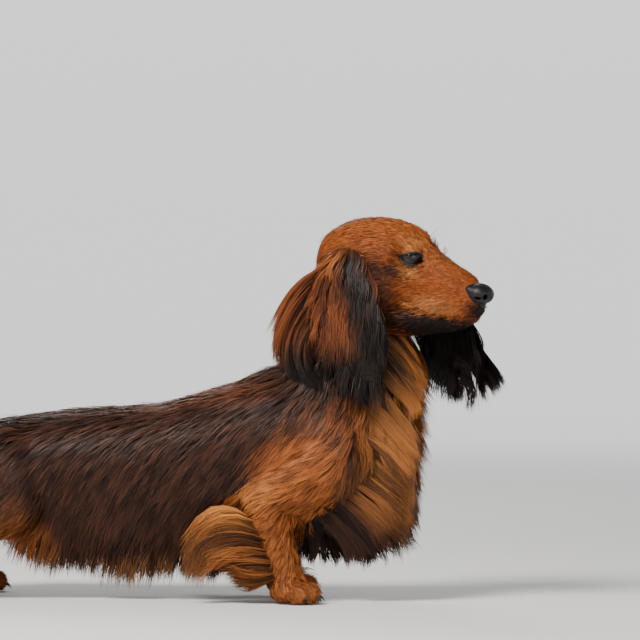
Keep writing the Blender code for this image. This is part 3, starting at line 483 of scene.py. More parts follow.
# Rows of the lie, on both sides: kind, place (x, out, z), lie (x, out, z), length
bodyLie = lieRows((
    ("back", (10, 0, 228), (-1, 0, -0.25), 34),
    ("back", (-60, 12, 225), (-1, 0.1, -0.1), 34),
    ("back", (-150, 12, 198), (-1, 0.1, -0.1), 32),
    ("back", (-250, 12, 190), (-1, 0.1, -0.05), 32),
    ("back", (-340, 12, 176), (-1, 0.1, -0.1), 34),
    ("flank", (-40, 52, 200), (-0.85, 0.1, -0.55), 36),
    ("flank", (-140, 52, 178), (-0.85, 0.1, -0.55), 36),
    ("flank", (-240, 50, 170), (-0.85, 0.1, -0.5), 36),
    ("flank", (-330, 48, 155), (-0.8, 0.1, -0.6), 36),
    ("flank", (-60, 68, 140), (-0.66, 0, -0.75), 38),
    ("flank", (-150, 69, 130), (-0.66, 0, -0.75), 40),
    ("flank", (-240, 67, 128), (-0.62, 0, -0.78), 40),
    ("flank", (-320, 62, 120), (-0.6, 0, -0.8), 36),
    ("flank", (-90, 60, 88), (-0.62, 0, -0.78), 54),
    ("flank", (-180, 60, 88), (-0.56, 0, -0.82), 58),
    ("flank", (-270, 55, 90), (-0.52, 0, -0.85), 52),
    ("fringe", (-100, 34, 62), (-0.55, 0.1, -0.85), 58),
    ("fringe", (-180, 34, 64), (-0.5, 0.1, -0.85), 64),
    ("fringe", (-260, 30, 70), (-0.45, 0.1, -0.85), 58),
    ("fringe", (-140, 0, 58), (-0.55, 0, -0.8), 52),
    ("fringe", (-230, 0, 64), (-0.5, 0, -0.8), 52),
    ("fringe", (-30, 20, 62), (-0.3, 0.05, -0.9), 30),
    ("neck", (0, 20, 262), (-0.55, 0.1, -0.85), 38),
    ("neck", (-5, 40, 232), (-0.6, 0.1, -0.8), 38),
    ("neck", (35, 42, 270), (-0.15, 0.1, -1), 44),
    ("neck", (30, 52, 225), (-0.18, 0.1, -1), 42),
    ("shoulder", (-10, 60, 190), (-0.55, 0.1, -0.82), 36),
    ("shoulder", (35, 62, 180), (-0.45, 0.1, -0.88), 32),
    ("shoulder", (-35, 66, 150), (-0.7, 0, -0.7), 34),
    ("shoulder", (48, 64, 140), (-0.2, 0, -0.98), 34),
    ("arm", (18, 70, 150), (-0.8, 0, -0.6), 26),
    ("arm", (0, 72, 130), (-0.9, 0, -0.38), 25),
    ("arm", (-35, 77, 115), (-0.95, 0, -0.25), 24),
    ("arm", (-60, 70, 103), (-0.8, 0.2, -0.45), 22),
    ("arm", (18, 64, 112), (-0.6, 0, -0.8), 26),
    ("arm", (-10, 65, 98), (-0.75, 0, -0.65), 22),
    ("neck", (75, 10, 300), (0.25, 0.05, -0.95), 40),
    ("neck", (84, 12, 262), (0.22, 0.1, -1), 48),
    ("chest", (88, 14, 225), (0.2, 0.12, -1), 52),
    ("chest", (92, 16, 185), (0.42, 0.14, -0.9), 54),
    ("chest", (86, 18, 145), (0.58, 0.14, -0.8), 54),
    ("chest", (70, 16, 105), (0.7, 0.12, -0.7), 54),
    ("chest", (40, 14, 72), (0.4, 0.05, -0.9), 40),
    ("chest", (70, 44, 215), (0.1, 0.1, -1), 50),
    ("chest", (72, 46, 175), (0.5, 0.1, -0.85), 54),
    ("chest", (68, 44, 135), (0.78, 0.08, -0.62), 54),
    ("chest", (50, 40, 100), (0.9, 0.04, -0.45), 54),
    ("chest", (10, 30, 72), (0.35, 0.02, -0.9), 36),
    ("flank", (-395, 0, 168), (-1, 0, -0.05), 30),
    ("flank", (-450, 0, 162), (-1, 0, -0.05), 30),
    ("flank", (-520, 2, 154), (-1, 0, 0.05), 32),
    ("flank", (-590, 8, 158), (-1, 0, 0.15), 34),
    ("flag", (-420, 0, 130), (-0.9, 0, -0.8), 46),
    ("flag", (-420, 20, 150), (-0.9, 0.05, -0.6), 46),
    ("flag", (-480, 2, 130), (-0.95, 0, -0.8), 62),
    ("flag", (-480, 14, 145), (-0.95, 0.05, -0.6), 56),
    ("flag", (-550, 6, 130), (-1, 0, -0.75), 62),
    ("flag", (-550, 18, 145), (-1, 0.05, -0.55), 54),
    ("flag", (-610, 12, 142), (-1, 0, -0.5), 48),
    ("flag", (-632, 10, 160), (-1, 0, -0.15), 30),
))
forelegLie = lieRows((
    ("leg", (-10, 57, 85), (-0.1, 0, -1), 12),
    ("leg", (0, 57, 50), (-0.05, 0, -1), 10),
    ("leg", (-34, 82, 62), (-0.55, 0, -0.85), 14),
    ("leg", (-26, 80, 38), (-0.35, 0, -0.95), 11),
    ("leg", (-34, 34, 62), (-0.5, 0, -0.85), 12),
    ("leg", (-26, 34, 35), (-0.3, 0, -0.95), 11),
    ("arm", (-44, 80, 88), (-0.85, 0, -0.5), 18),
    ("leg", (-56, 58, 50), (-0.6, 0, -0.8), 15),
    ("paw", (0, 57, 30), (0.4, 0, -0.9), 7),
    ("paw", (12, 57, 22), (0.9, 0, -0.4), 6),
    ("paw", (-16, 82, 12), (0.5, 0.1, -0.8), 6),
    ("paw", (-16, 32, 12), (0.5, -0.1, -0.8), 6),
    ("paw", (-45, 57, 12), (-0.3, 0, -0.9), 8),
))
hindlegLie = lieRows((
    ("leg", (-300, 85, 90), (-0.7, 0, -0.7), 16),
    ("leg", (-330, 80, 75), (-0.7, 0, -0.7), 13),
    ("leg", (-372, 78, 42), (-0.1, 0, -1), 10),
    ("leg", (-345, 60, 40), (0, 0, -1), 9),
    ("leg", (-372, 40, 42), (-0.1, 0, -1), 9),
    ("leg", (-330, 40, 75), (-0.6, 0, -0.8), 12),
    ("leg", (-392, 59, 50), (-0.4, 0, -1), 13),
    ("feather", (-405, 42, 135), (-0.8, 0.05, -0.75), 42),
    ("feather", (-395, 50, 108), (-0.78, 0.04, -0.8), 42),
    ("feather", (-385, 55, 82), (-0.72, 0, -0.9), 36),
    ("paw", (-336, 60, 28), (0.4, 0, -0.9), 7),
    ("paw", (-326, 60, 20), (0.9, 0, -0.4), 6),
    ("paw", (-352, 84, 12), (0.5, 0.1, -0.8), 6),
    ("paw", (-352, 36, 12), (0.5, -0.1, -0.8), 6),
    ("paw", (-382, 60, 12), (-0.3, 0, -0.9), 8),
))
headLie = lieRows((
    ("muzzle", (60, 0, -6), (-1, 0.2, 0.1), 5),
    ("muzzle", (35, 0, 4), (-1, 0.1, 0.1), 6),
    ("muzzle", (50, 22, -30), (-1, 0.1, -0.15), 6),
    ("muzzle", (25, 26, -28), (-1, 0.15, -0.1), 7),
    ("muzzle", (60, 18, -44), (-0.8, 0.1, -0.5), 6),
    ("muzzle", (30, 24, -48), (-0.8, 0.1, -0.5), 7),
    ("muzzle", (60, 8, -62), (-1, 0, -0.1), 6),
    ("muzzle", (30, 0, -75), (-1, 0, -0.1), 8),
    ("muzzle", (4, 22, 10), (-0.75, 0.25, 0.6), 5),
    ("muzzle", (-10, 30, 8), (-0.95, 0.3, 0.2), 6),
    ("muzzle", (4, 25, -12), (-0.8, 0.3, -0.5), 5),
    ("muzzle", (15, 14, -2), (-0.5, 0.2, 0.85), 4),
    ("skull", (5, 8, 20), (-1, 0.15, 0.5), 7),
    ("skull", (-15, 10, 33), (-1, 0.25, 0.1), 8),
    ("skull", (-45, 10, 35), (-1, 0.25, -0.05), 11),
    ("skull", (-80, 10, 28), (-1, 0.2, -0.4), 17),
    ("skull", (-108, 10, 8), (-0.8, 0.1, -0.8), 24),
    ("skull", (-20, 34, 20), (-0.95, 0.3, -0.1), 8),
    ("skull", (-50, 42, 12), (-0.9, 0.2, -0.35), 12),
    ("cheek", (-5, 34, -18), (-1, 0.3, -0.15), 8),
    ("cheek", (-30, 45, -20), (-1, 0.1, -0.25), 9),
    ("cheek", (-30, 42, -50), (-0.85, 0.1, -0.55), 12),
    ("cheek", (-65, 45, -40), (-0.8, 0.1, -0.6), 18),
    ("cheek", (0, 27, -50), (-0.95, 0.1, -0.3), 9),
    ("cheek", (-20, 15, -85), (-0.9, 0.1, -0.4), 16),
    ("neck", (-55, 20, -85), (-0.5, 0.1, -0.85), 30),
))
earLie = {
    "places": (10, 28, 46, 62, 78, 92),  # in hundredths of the way down the leather
    "across": (-0.85, 0.0, 0.85),
    "fanBack": 0.80,
    "fanFront": 0.12,
    "blown": {1: 0.50, -1: 0.0},  # the far ear is blown forward
    "length": (40, 48, 56, 60, 60, 54),
}
growth = {
    "seed": 4,
    "lengths": (0.86, 1.12),  # how hairs differ in length, height and how much of their line is grown
    "depths": (0.35, 1.0),
    "reaches": (0.70, 1.0),
    "leadTone": 0.65,  # the share of a hair's tone that its clump gives
    "sink": 1.6,  # how strongly droop turns a hair down at each step
    "letGo": 0.010,  # the height over the skin at which a hair no longer follows it
    "sway": 1.3,  # waves along a hair
    "gather": 1.2,  # how late a clump draws together
    "steps": 8,
    "turnWeight": 0.030,  # how much a change of facing counts as distance, in metres
    "reach": 0.006,
    "rootDepth": 0.0006,
    "rise": 0.45,  # the share of its length over which a hair reaches its height
    "floor": 0.0012,
    "spread": 0.07,
    "wild": 0.02,  # the share of hairs that stand away from the rest
    "wildReach": 0.016,
    "wildShare": (0.1, 0.35),
    "density": 1.0,
}
rng = np.random.default_rng(growth["seed"])


def makeField(rows, tree, matrix=None):
    kinds, places, lies, lengths = [], [], [], []
    for kind, place, lie, length in rows:
        for side in (1, -1) if place[1] else (1,):
            point, way = (Vector((v[0], v[1] * side, v[2])) for v in (place, lie))
            if matrix is not None:
                point, way = matrix @ point, matrix.to_3x3() @ way
            kinds.append(list(hairKinds).index(kind))
            places.append(point[:])
            lies.append(way.normalized()[:])
            lengths.append(length / 1000)
    return snapField(kinds, np.array(places), np.array(lies), np.array(lengths), tree)


def snapField(kinds, places, lies, lengths, tree):
    near, normals, _ = nearestOn(tree, places)
    values = [[hairKinds[name][key] for key in fieldKeys] for name in hairKinds]
    return {
        "features": np.hstack([near, normals * growth["turnWeight"]]),
        "lies": lies,
        "values": np.hstack([lengths[:, None], np.array(values, float)[kinds]]),
        "kinds": np.array(kinds),
    }


def mergedFields(fields):
    return {key: np.concatenate([field[key] for field in fields]) for key in fields[0]}


def readField(field, places, normals):
    lies = np.empty((len(places), 3))
    values = np.empty((len(places), field["values"].shape[1]))
    kinds = np.empty(len(places), int)
    goal = field["features"]
    for start in range(0, len(places), 20000):
        part = slice(start, start + 20000)
        here = np.hstack([places[part], normals[part] * growth["turnWeight"]])
        gap = (here**2).sum(1)[:, None] + (goal**2).sum(1)[None] - 2 * here @ goal.T
        pull = 1 / (np.maximum(gap, 0) + growth["reach"] ** 2) ** 2.5
        kinds[part] = field["kinds"][pull.argmax(1)]
        pull /= pull.sum(1, keepdims=True)
        lies[part] = pull @ field["lies"]
        values[part] = pull @ field["values"]
    read = {key: values[:, i + 1] for i, key in enumerate(fieldKeys)}
    for key in ("depth", "spacing", "wave", "width"):
        read[key] = read[key] / 1000
    return {**read, "length": values[:, 0], "lie": unit(lies), "kind": kinds}


def dot(a, b):
    return (a * b).sum(-1, keepdims=True)


def laid(lies, normals, hug):
    into = dot(lies, normals)
    return unit(lies - normals * np.where(into < 0, into, into * hug[:, None]))


def growPaths(tree, field, roots, normals):
    count, steps = len(roots), growth["steps"]
    read = readField(field, roots, normals)
    hug = read["hug"]
    length = read["length"] * rng.uniform(*growth["lengths"], count)
    depth = read["depth"] * rng.uniform(*growth["depths"], count)
    heading = laid(read["lie"], normals, hug)
    point = roots - normals * growth["rootDepth"]
    up = normals
    path, ups = [point], [normals]
    for step in range(1, steps + 1):
        t = step / steps
        heading = unit(heading - np.array([0, 0, 1]) * read["droop"][:, None] * growth["sink"])
        target = point + heading * (length / steps)[:, None]
        near, outward, _ = nearestOn(tree, target)
        height = dot(target - near, outward)[:, 0]
        want = depth * min(1, t / growth["rise"])
        falls = 1 - read["hang"] * np.clip((-0.15 - outward[:, 2]) / 0.5, 0, 1)
        close = np.clip(1.8 - height / growth["letGo"], 0, 1)
        pull = np.where(height < want, 1.0, hug**3 * falls * close)
        target = target + (near + outward * want[:, None] - target) * pull[:, None]
        target[:, 2] = np.maximum(target[:, 2], growth["floor"])
        moved = unit(target - point)
        close = (hug * falls * close)[:, None]
        fresh = readField(field, near, outward)["lie"]
        heading = unit(moved * (1 - 0.5 * close) + laid(fresh, outward, hug) * 0.5 * close)
        up = unit(up * (1 - close) + outward * close)
        up = unit(up - moved * dot(up, moved))
        path.append(target)
        ups.append(up)
        point = target
    return np.stack(path, 1), np.stack(ups, 1), read


def scatter(points, normals, corners, weight):
    # random places over the triangles, weight of them to a triangle
    wanted = rng.poisson(weight)
    chosen = np.repeat(np.arange(len(corners)), wanted)
    u, v = rng.random((2, len(chosen), 1))
    flip = u + v > 1
    u, v = np.where(flip, 1 - u, u), np.where(flip, 1 - v, v)
    a, b, c = (corners[chosen, i] for i in range(3))
    places = points[a] * (1 - u - v) + points[b] * u + points[c] * v
    return places, unit(normals[a] * (1 - u - v) + normals[b] * u + normals[c] * v)


def clearOf(places, blockers):
    keep = np.ones(len(places), bool)
    for tree, margin in blockers:
        near, outward, _ = nearestOn(tree, places)
        keep &= dot(places - near, outward)[:, 0] > margin
    return keep


def growCoat(part, field, blockers=(), bare=None):
    points, normals, corners, tree = part
    a, b, c = (points[corners[:, i]] for i in range(3))
    area = np.linalg.norm(np.cross(b - a, c - a), axis=1) / 2
    facing = unit(normals[corners].mean(1))
    read = readField(field, (a + b + c) / 3, facing)
    clumpRoots, clumpNormals = scatter(points, normals, corners, area / read["spacing"] ** 2)
    share = read["density"] * 1e4 * growth["density"]
    roots, facing = scatter(points, normals, corners, area * share)
    keep = clearOf(roots, blockers)
    if bare:
        keep &= bare(roots)
    roots, facing = roots[keep], facing[keep]
    path, ups, clumps = growPaths(tree, field, clumpRoots, clumpNormals)
    own = readField(field, roots, facing)
    finder = KDTree(len(clumpRoots))
    for i, place in enumerate((clumpRoots + clumpNormals * 0.01).tolist()):
        finder.insert(place, i)
    finder.balance()
    lead = np.array([finder.find(place)[1] for place in (roots + facing * 0.01).tolist()])
    return strandsOf(path, ups, clumps, roots, own, lead)


def swayOf(phase, ratio, waves):
    return np.sin(phase[:, None] + ratio * 2 * math.pi * waves) - np.sin(phase[:, None])


def toneOf(clumpTone, ownTone, share):
    return np.clip(share * clumpTone + (1 - share) * ownTone, 0, 1)


def strandsOf(path, ups, clumps, roots, own, lead):
    count, steps = len(roots), growth["steps"]
    phase = rng.uniform(0, 2 * math.pi, len(path))
    clumpTone = rng.random(len(path))
    along = unit(np.gradient(path, axis=1))
    side = unit(np.cross(along, ups))
    up = np.cross(side, along)
    ratio = np.linspace(0, 1, steps + 1)
    sway = swayOf(phase, ratio, growth["sway"])
    path = path + side * (sway * clumps["wave"][:, None] * ratio)[..., None]
    offset = roots - path[lead, 0]
    offset = np.stack([dot(offset, axis[lead, 0])[:, 0] for axis in (along, up, side)], 1)
    draw = (1 - own["clump"][:, None] * ratio ** growth["gather"])[..., None]
    stray = rng.normal(0, growth["spread"], (count, 2)) * own["length"][:, None]
    carried = (
        along[lead] * offset[:, None, :1]
        + up[lead] * offset[:, None, 1:2]
        + side[lead] * offset[:, None, 2:]
    ) * draw
    own["path"] = path[lead] + carried + side[lead] * (stray[:, :1] * ratio**1.5)[..., None]
    stands = np.minimum(own["length"], growth["wildReach"])[:, None]
    stands = stands * rng.uniform(*growth["wildShare"], (count, 1))
    wild = (rng.random((count, 1)) < growth["wild"]) * stands
    lift = np.abs(stray[:, 1:]) * 0.30 * ratio + wild * ratio**1.5
    own["path"] += up[lead] * lift[..., None]
    own["path"][:, :, 2] = np.maximum(own["path"][:, :, 2], growth["floor"])
    own["up"] = up[lead]
    own["reach"] = rng.uniform(*growth["reaches"], count)
    own["tone"] = toneOf(clumpTone[lead], rng.random(count), growth["leadTone"])
    own["root"] = roots
    return own


# Each patch: centre, radii, soft edge, light and dark hair, colours in thousandths
# Most patches are the coat's own markings; those noted are painted shade or painted highlight
bodyBase = milli(((58, 23, 13), (12, 6, 5)))
bodyMarksAndShade = markRows((
    ((-130, 0, 206), (190, 46, 20), 0.5, (150, 48, 20), (36, 13, 7)),
    ((-310, 60, 62), (36, 40, 20), 0.6, (260, 80, 24), (50, 18, 9)),
    ((30, 60, 165), (50, 30, 35), 0.6, (180, 56, 20), (36, 13, 7)),
    ((80, 0, 190), (40, 60, 110), 0.4, (360, 135, 38), (45, 18, 9)),
    ((116, 0, 215), (30, 50, 75), 0.5, (480, 170, 38), (40, 14, 7)),
    # painted shade: the throat just under the jaw is darker, where the jaw shades it
    ((72, 10, 282), (45, 60, 26), 0.5, (170, 62, 24), (30, 13, 8)),
    ((85, 40, 130), (40, 40, 50), 0.6, (400, 145, 40), (18, 8, 6)),
    # painted shade: near-black low on the chest between the forelegs, where shade falls
    ((22, 20, 70), (40, 40, 36), 0.4, (30, 14, 9), (7, 5, 5)),
    ((26, 50, 232), (66, 40, 34), 0.4, (36, 17, 12), (8, 6, 6)),
    ((10, 10, 330), (50, 44, 50), 0.6, (300, 86, 20), (90, 26, 9)),
    ((-10, 70, 130), (44, 20, 34), 0.35, (420, 125, 30), (150, 42, 13)),
    ((-170, 50, 16), (60, 60, 18), 0.5, (300, 130, 45), (50, 22, 12)),
    ((-310, 50, 40), (40, 60, 40), 0.5, (360, 115, 30), (90, 30, 12)),
))
legBase = milli(((380, 115, 28), (125, 36, 11)))
legMarksShadeAndHighlight = markRows((
    # painted highlight: lighter gold on the outer bulge of the elbow
    ((-56, 78, 108), (22, 20, 14), 0.6, (470, 170, 46), (190, 58, 16)),
    # painted shade: dark on the front of the upper arm, in the gap against the chest
    ((50, 60, 125), (22, 40, 50), 0.4, (60, 24, 12), (12, 6, 5)),
    ((-315, 60, 118), (64, 60, 48), 0.4, (110, 40, 18), (22, 10, 7)),
    ((-415, 40, 95), (30, 40, 45), 0.5, (500, 200, 64), (150, 52, 16)),
))
featherBase = milli(((300, 92, 22), (18, 8, 5)))
featherMarksAndHighlight = markRows((
    # painted highlight: lighter gold over the feather's top tuft, lit from above
    ((-78, 76, 90), (36, 30, 12), 0.6, (560, 215, 52), (130, 40, 11)),
    ((-104, 74, 50), (20, 30, 8), 0.6, (460, 175, 48), (60, 21, 9)),
    ((-122, 74, 34), (14, 30, 30), 0.6, (200, 80, 28), (26, 11, 7)),
))
tailBase = milli(((130, 46, 20), (30, 12, 8)))
tailMarks = markRows((
    ((-540, 0, 105), (130, 40, 34), 0.6, (440, 180, 60), (110, 42, 16)),
))
headBase = milli(((335, 86, 18), (165, 38, 9)))
headMarksShadeAndLight = markRows((
    # the next two patches are painted light: lighter over the top of the skull and on the brow, lit from
    # above
    ((-30, 0, 34), (80, 40, 18), 0.5, (450, 134, 29), (200, 49, 12)),
    ((0, 18, 12), (18, 12, 8), 0.5, (600, 220, 60), (260, 80, 22)),
    ((34, 0, 4), (40, 14, 12), 0.5, (330, 100, 28), (140, 40, 13)),
    # the next three patches are painted shade: darker under and in front of the ear and on the cheek behind
    # the eye
    ((-60, 45, -40), (40, 30, 36), 0.35, (50, 19, 11), (9, 6, 5)),
    ((-28, 38, -40), (22, 24, 36), 0.6, (110, 32, 12), (26, 9, 6)),
    ((-14, 32, -16), (20, 14, 8), 0.5, (70, 24, 12), (14, 7, 6)),
    ((-13, 27, -1), (5.5, 7, 3), 0.5, (20, 11, 8), (6, 4, 4)),
    ((9, 13.5, -3.4), (4.5, 6, 2.8), 0.5, (20, 11, 8), (6, 4, 4)),
    ((2, 26, -14), (11, 10, 4.5), 0.5, (600, 260, 80), (300, 105, 32)),
    ((30, 20, -44), (30, 16, 7), 0.4, (470, 175, 48), (200, 64, 18)),
    ((74, 0, -40), (14, 18, 10), 0.4, (30, 14, 10), (8, 6, 6)),
    # painted shade: near-black under the jaw, where its own shadow falls
    ((20, 0, -64), (85, 34, 15.5), 0.2, (18, 10, 8), (5, 4, 4)),
))
earBase = milli(((200, 58, 20), (45, 14, 8)))
earMarks = markRows((
    ((-72, 50, 10), (34, 30, 26), 0.5, (420, 135, 36), (160, 46, 14)),
    ((-50, 56, -10), (13, 40, 26), 0.4, (20, 10, 8), (6, 4, 4)),
    ((-34, 56, -45), (15, 40, 34), 0.4, (22, 13, 10), (6, 5, 5)),
    ((-16, 56, -85), (20, 40, 40), 0.4, (20, 13, 11), (6, 5, 5)),
    ((-40, 56, -124), (52, 40, 34), 0.35, (20, 13, 11), (6, 5, 5)),
    ((-104, 60, -122), (48, 40, 36), 0.35, (20, 13, 11), (6, 5, 5)),
))
farEarBase = milli(((18, 12, 11), (5, 4, 4)))


# Sheets of long hair, guide line by guide line from one edge to the other: places on the left side
foreFeather = milli((
    ((-50, 64, 82), (-70, 76, 92), (-94, 77, 90), (-112, 77, 74), (-120, 76, 54)),
    ((-48, 66, 70), (-70, 76, 80), (-94, 77, 76), (-112, 77, 58), (-120, 76, 30)),
    ((-44, 66, 58), (-66, 77, 64), (-90, 77, 58), (-108, 77, 40), (-118, 77, 12)),
    ((-40, 64, 46), (-60, 74, 49), (-80, 76, 47), (-96, 76, 42), (-106, 77, 34)),
    ((-36, 61, 34), (-52, 69, 33), (-70, 72, 35), (-84, 72, 37), (-94, 72, 37)),
    ((-34, 58, 24), (-46, 62, 20), (-58, 64, 19), (-68, 64, 20), (-76, 64, 21)),
))
chestSweep = milli((
    ((50, 14, 292), (76, 16, 276), (95, 18, 250), (105, 16, 224)),
    ((60, 26, 268), (82, 26, 254), (99, 25, 233), (111, 21, 210)),
    ((64, 34, 240), (80, 34, 225), (96, 30, 205), (106, 26, 184)),
    ((56, 42, 205), (74, 42, 190), (92, 36, 168), (105, 30, 144)),
    ((40, 50, 168), (62, 50, 152), (84, 44, 130), (101, 34, 108)),
    ((30, 54, 142), (52, 54, 128), (76, 47, 107), (95, 37, 87)),
    ((20, 54, 120), (42, 54, 105), (64, 47, 85), (80, 37, 64)),
    ((10, 50, 102), (28, 50, 87), (46, 45, 65), (58, 37, 43)),
    ((0, 44, 88), (14, 45, 74), (28, 42, 54), (36, 36, 32)),
))
# Ear fringes, in the level head's frame: forward, out, up
farFringe = milli((
    ((-30, 58, -50), (-26, 60, -80), (-18, 62, -108), (-10, 63, -130), (-7, 64, -148)),
    ((-18, 58, -70), (-12, 60, -96), (-6, 62, -116), (0, 63, -132), (2, 64, -146)),
    ((-4, 58, -76), (4, 60, -90), (10, 62, -100), (16, 63, -108), (20, 64, -114)),
    ((2, 58, -78), (14, 60, -95), (26, 62, -110), (38, 63, -124), (48, 64, -136)),
    ((12, 58, -66), (22, 60, -82), (34, 62, -98), (44, 63, -114), (51, 64, -128)),
))
nearWisps = milli((
    ((-84, 50, -6), (-100, 58, -18), (-116, 62, -36), (-130, 62, -58), (-142, 60, -82)),
    ((-96, 54, -24), (-112, 61, -42), (-124, 64, -64), (-132, 64, -88), (-134, 62, -110)),
    ((-98, 56, -50), (-110, 62, -70), (-116, 65, -92), (-112, 65, -112), (-104, 64, -128)),
    ((-90, 58, -74), (-94, 63, -92), (-90, 66, -110), (-80, 66, -126), (-70, 65, -138)),
))
sheets = {
    "thickness": 0.0028,
    "gather": 0.70,  # how far the hair of a clump draws together at the tip
    "wave": 0.0026,
    "stray": 0.0055,
    "strayMost": 0.0065,
    "sway": 1.2,
    "leadTone": 0.70,
    "shortest": 0.62,  # of the drawn length
    "rows": 60,  # lines that a sheet is divided into
}


def coatColours(places, tone, base, marks, matrix=None):
    if matrix is not None:
        turn = np.array(matrix.inverted())
        places = places @ turn[:3, :3].T + turn[:3, 3]
    places = places * (1, 1, 1)
    places[:, 1] = np.abs(places[:, 1])
    light = np.repeat([base[0]], len(places), 0)
    dark = np.repeat([base[1]], len(places), 0)
    for centre, radii, edge, lightHair, darkHair in marks:
        far = np.linalg.norm((places - centre) / radii, axis=1)
        cover = np.clip((1 + edge - far) / (2 * edge), 0, 1)[:, None]
        cover = cover * cover * (3 - 2 * cover)
        light += (np.array(lightHair) - light) * cover
        dark += (np.array(darkHair) - dark) * cover
    blend = (tone * tone * (3 - 2 * tone))[:, None]
    return dark + (light - dark) * blend


def newGroup(name, takes, gives):
    tree = bpy.data.node_groups.new(name, "ShaderNodeTree")
    for label, kind, value in takes:
        socket = tree.interface.new_socket(label, in_out="INPUT", socket_type=kind)
        socket.default_value = value
    for label, kind in gives:
        tree.interface.new_socket(label, in_out="OUTPUT", socket_type=kind)
    return tree, tree.nodes.new("NodeGroupInput"), tree.nodes.new("NodeGroupOutput")


def mathNode(tree, operation, first, second, clamp=False):
    node = tree.nodes.new("ShaderNodeMath")
    node.operation = operation
    node.use_clamp = clamp
    for socket, value in zip(node.inputs, (first, second)):
        if isinstance(value, (int, float)):
            socket.default_value = value
        else:
            tree.links.new(value, socket)
    return node.outputs[0]


def scaledColour(tree, colour, factor):
    node = tree.nodes.new("ShaderNodeVectorMath")
    node.operation = "SCALE"
    tree.links.new(colour, node.inputs[0])
    tree.links.new(factor, node.inputs["Scale"])
    return node.outputs[0]


toneSet = {
    "rootReach": 2.2,  # over what share of a hair, as its inverse, the root's shade fades
    "strandTone": 0.35,  # how far hairs differ in tone and in roughness
    "strandRough": 0.18,
    "gloss": 0.11,
}


def hairToneGroup():
    takes = (
        ("Marking", "NodeSocketColor", (1, 1, 1, 1)),
        ("Along", "NodeSocketFloat", 0.5),
        ("Strand", "NodeSocketFloat", 0.5),
        ("Root Shade", "NodeSocketFloat", 0.45),
        ("Tip Light", "NodeSocketFloat", 0.3),
        ("Gloss", "NodeSocketFloat", 0.4),
    )
    gives = (("Colour", "NodeSocketColor"), ("Roughness", "NodeSocketFloat"))
    tree, given, made = newGroup("hairTone", takes, gives)
    along, strand = given.outputs["Along"], given.outputs["Strand"]
    nearRoot = mathNode(tree, "MULTIPLY", along, toneSet["rootReach"], True)
    nearRoot = mathNode(tree, "SUBTRACT", 1.0, nearRoot)
    shade = mathNode(tree, "SUBTRACT", 1.0, given.outputs["Root Shade"])
    rootPart = mathNode(tree, "MULTIPLY", nearRoot, shade)
    tipPart = mathNode(tree, "MULTIPLY", mathNode(tree, "POWER", along, 2.0), given.outputs["Tip Light"])
    strandPart = mathNode(tree, "SUBTRACT", strand, 0.5)
    strandPart = mathNode(tree, "MULTIPLY", strandPart, toneSet["strandTone"])
    tone = mathNode(tree, "SUBTRACT", 1.0, rootPart)
    tone = mathNode(tree, "ADD", tone, mathNode(tree, "ADD", tipPart, strandPart))
    tree.links.new(scaledColour(tree, given.outputs["Marking"], tone), made.inputs["Colour"])
    rough = mathNode(tree, "MULTIPLY", strand, toneSet["strandRough"])
    tree.links.new(mathNode(tree, "ADD", given.outputs["Gloss"], rough), made.inputs["Roughness"])
    return tree


hairTone = hairToneGroup()


def attributeNode(tree, name):
    node = tree.nodes.new("ShaderNodeAttribute")
    node.attribute_name = name
    return node


def plainMaterial(name, colour, roughness, **others):
    material = bpy.data.materials.new(name)
    material.use_nodes = True
    shader = material.node_tree.nodes["Principled BSDF"]
    shader.inputs["Base Color"].default_value = (*colour, 1)
    shader.inputs["Roughness"].default_value = roughness
    for key, value in others.items():
        shader.inputs[key.replace("_", " ")].default_value = value
    return material, shader


def hairMaterial(name, rootShade, tipLight, gloss):
    material, shader = plainMaterial(name, (0.1, 0.05, 0.02), 0.5)
    shader.inputs["Specular IOR Level"].default_value = toneSet["gloss"]
    tree = material.node_tree
    group = tree.nodes.new("ShaderNodeGroup")
    group.node_tree = hairTone
    tree.links.new(attributeNode(tree, "coatColour").outputs["Color"], group.inputs["Marking"])
    tree.links.new(attributeNode(tree, "along").outputs["Fac"], group.inputs["Along"])
    tree.links.new(attributeNode(tree, "strand").outputs["Fac"], group.inputs["Strand"])
    for key, value in (("Root Shade", rootShade), ("Tip Light", tipLight), ("Gloss", gloss)):
        group.inputs[key].default_value = value
    tree.links.new(group.outputs["Colour"], shader.inputs["Base Color"])
    tree.links.new(group.outputs["Roughness"], shader.inputs["Roughness"])
    return material


skinLook = {
    "scale": 900,  # of the noise in its tone and surface
    "least": 0.35,
    "change": 0.7,
    "bump": (0.6, 0.0006),  # strength and distance
    "tone": 0.42,  # between the dark and the light hair of its marking
    "sunk": 0.75,  # the share of the coat's depth by which it lies inside the solids
}


def skinMaterial():
    material, shader = plainMaterial("dogSkin", (0.1, 0.05, 0.02), 0.75, Specular_IOR_Level=0.15)
    tree = material.node_tree
    marking = attributeNode(tree, "coatColour")
    noise = tree.nodes.new("ShaderNodeTexNoise")
    noise.inputs["Scale"].default_value = skinLook["scale"]
    noise.inputs["Detail"].default_value = 4
    place = tree.nodes.new("ShaderNodeTexCoord")
    tree.links.new(place.outputs["Object"], noise.inputs["Vector"])
    shade = mathNode(tree, "MULTIPLY_ADD", noise.outputs["Fac"], skinLook["change"])
    shade.node.inputs[2].default_value = skinLook["least"]
    tree.links.new(scaledColour(tree, marking.outputs["Color"], shade), shader.inputs["Base Color"])
    bump = tree.nodes.new("ShaderNodeBump")
    bump.inputs["Strength"].default_value, bump.inputs["Distance"].default_value = skinLook["bump"]
    tree.links.new(noise.outputs["Fac"], bump.inputs["Height"])
    tree.links.new(bump.outputs["Normal"], shader.inputs["Normal"])
    return material


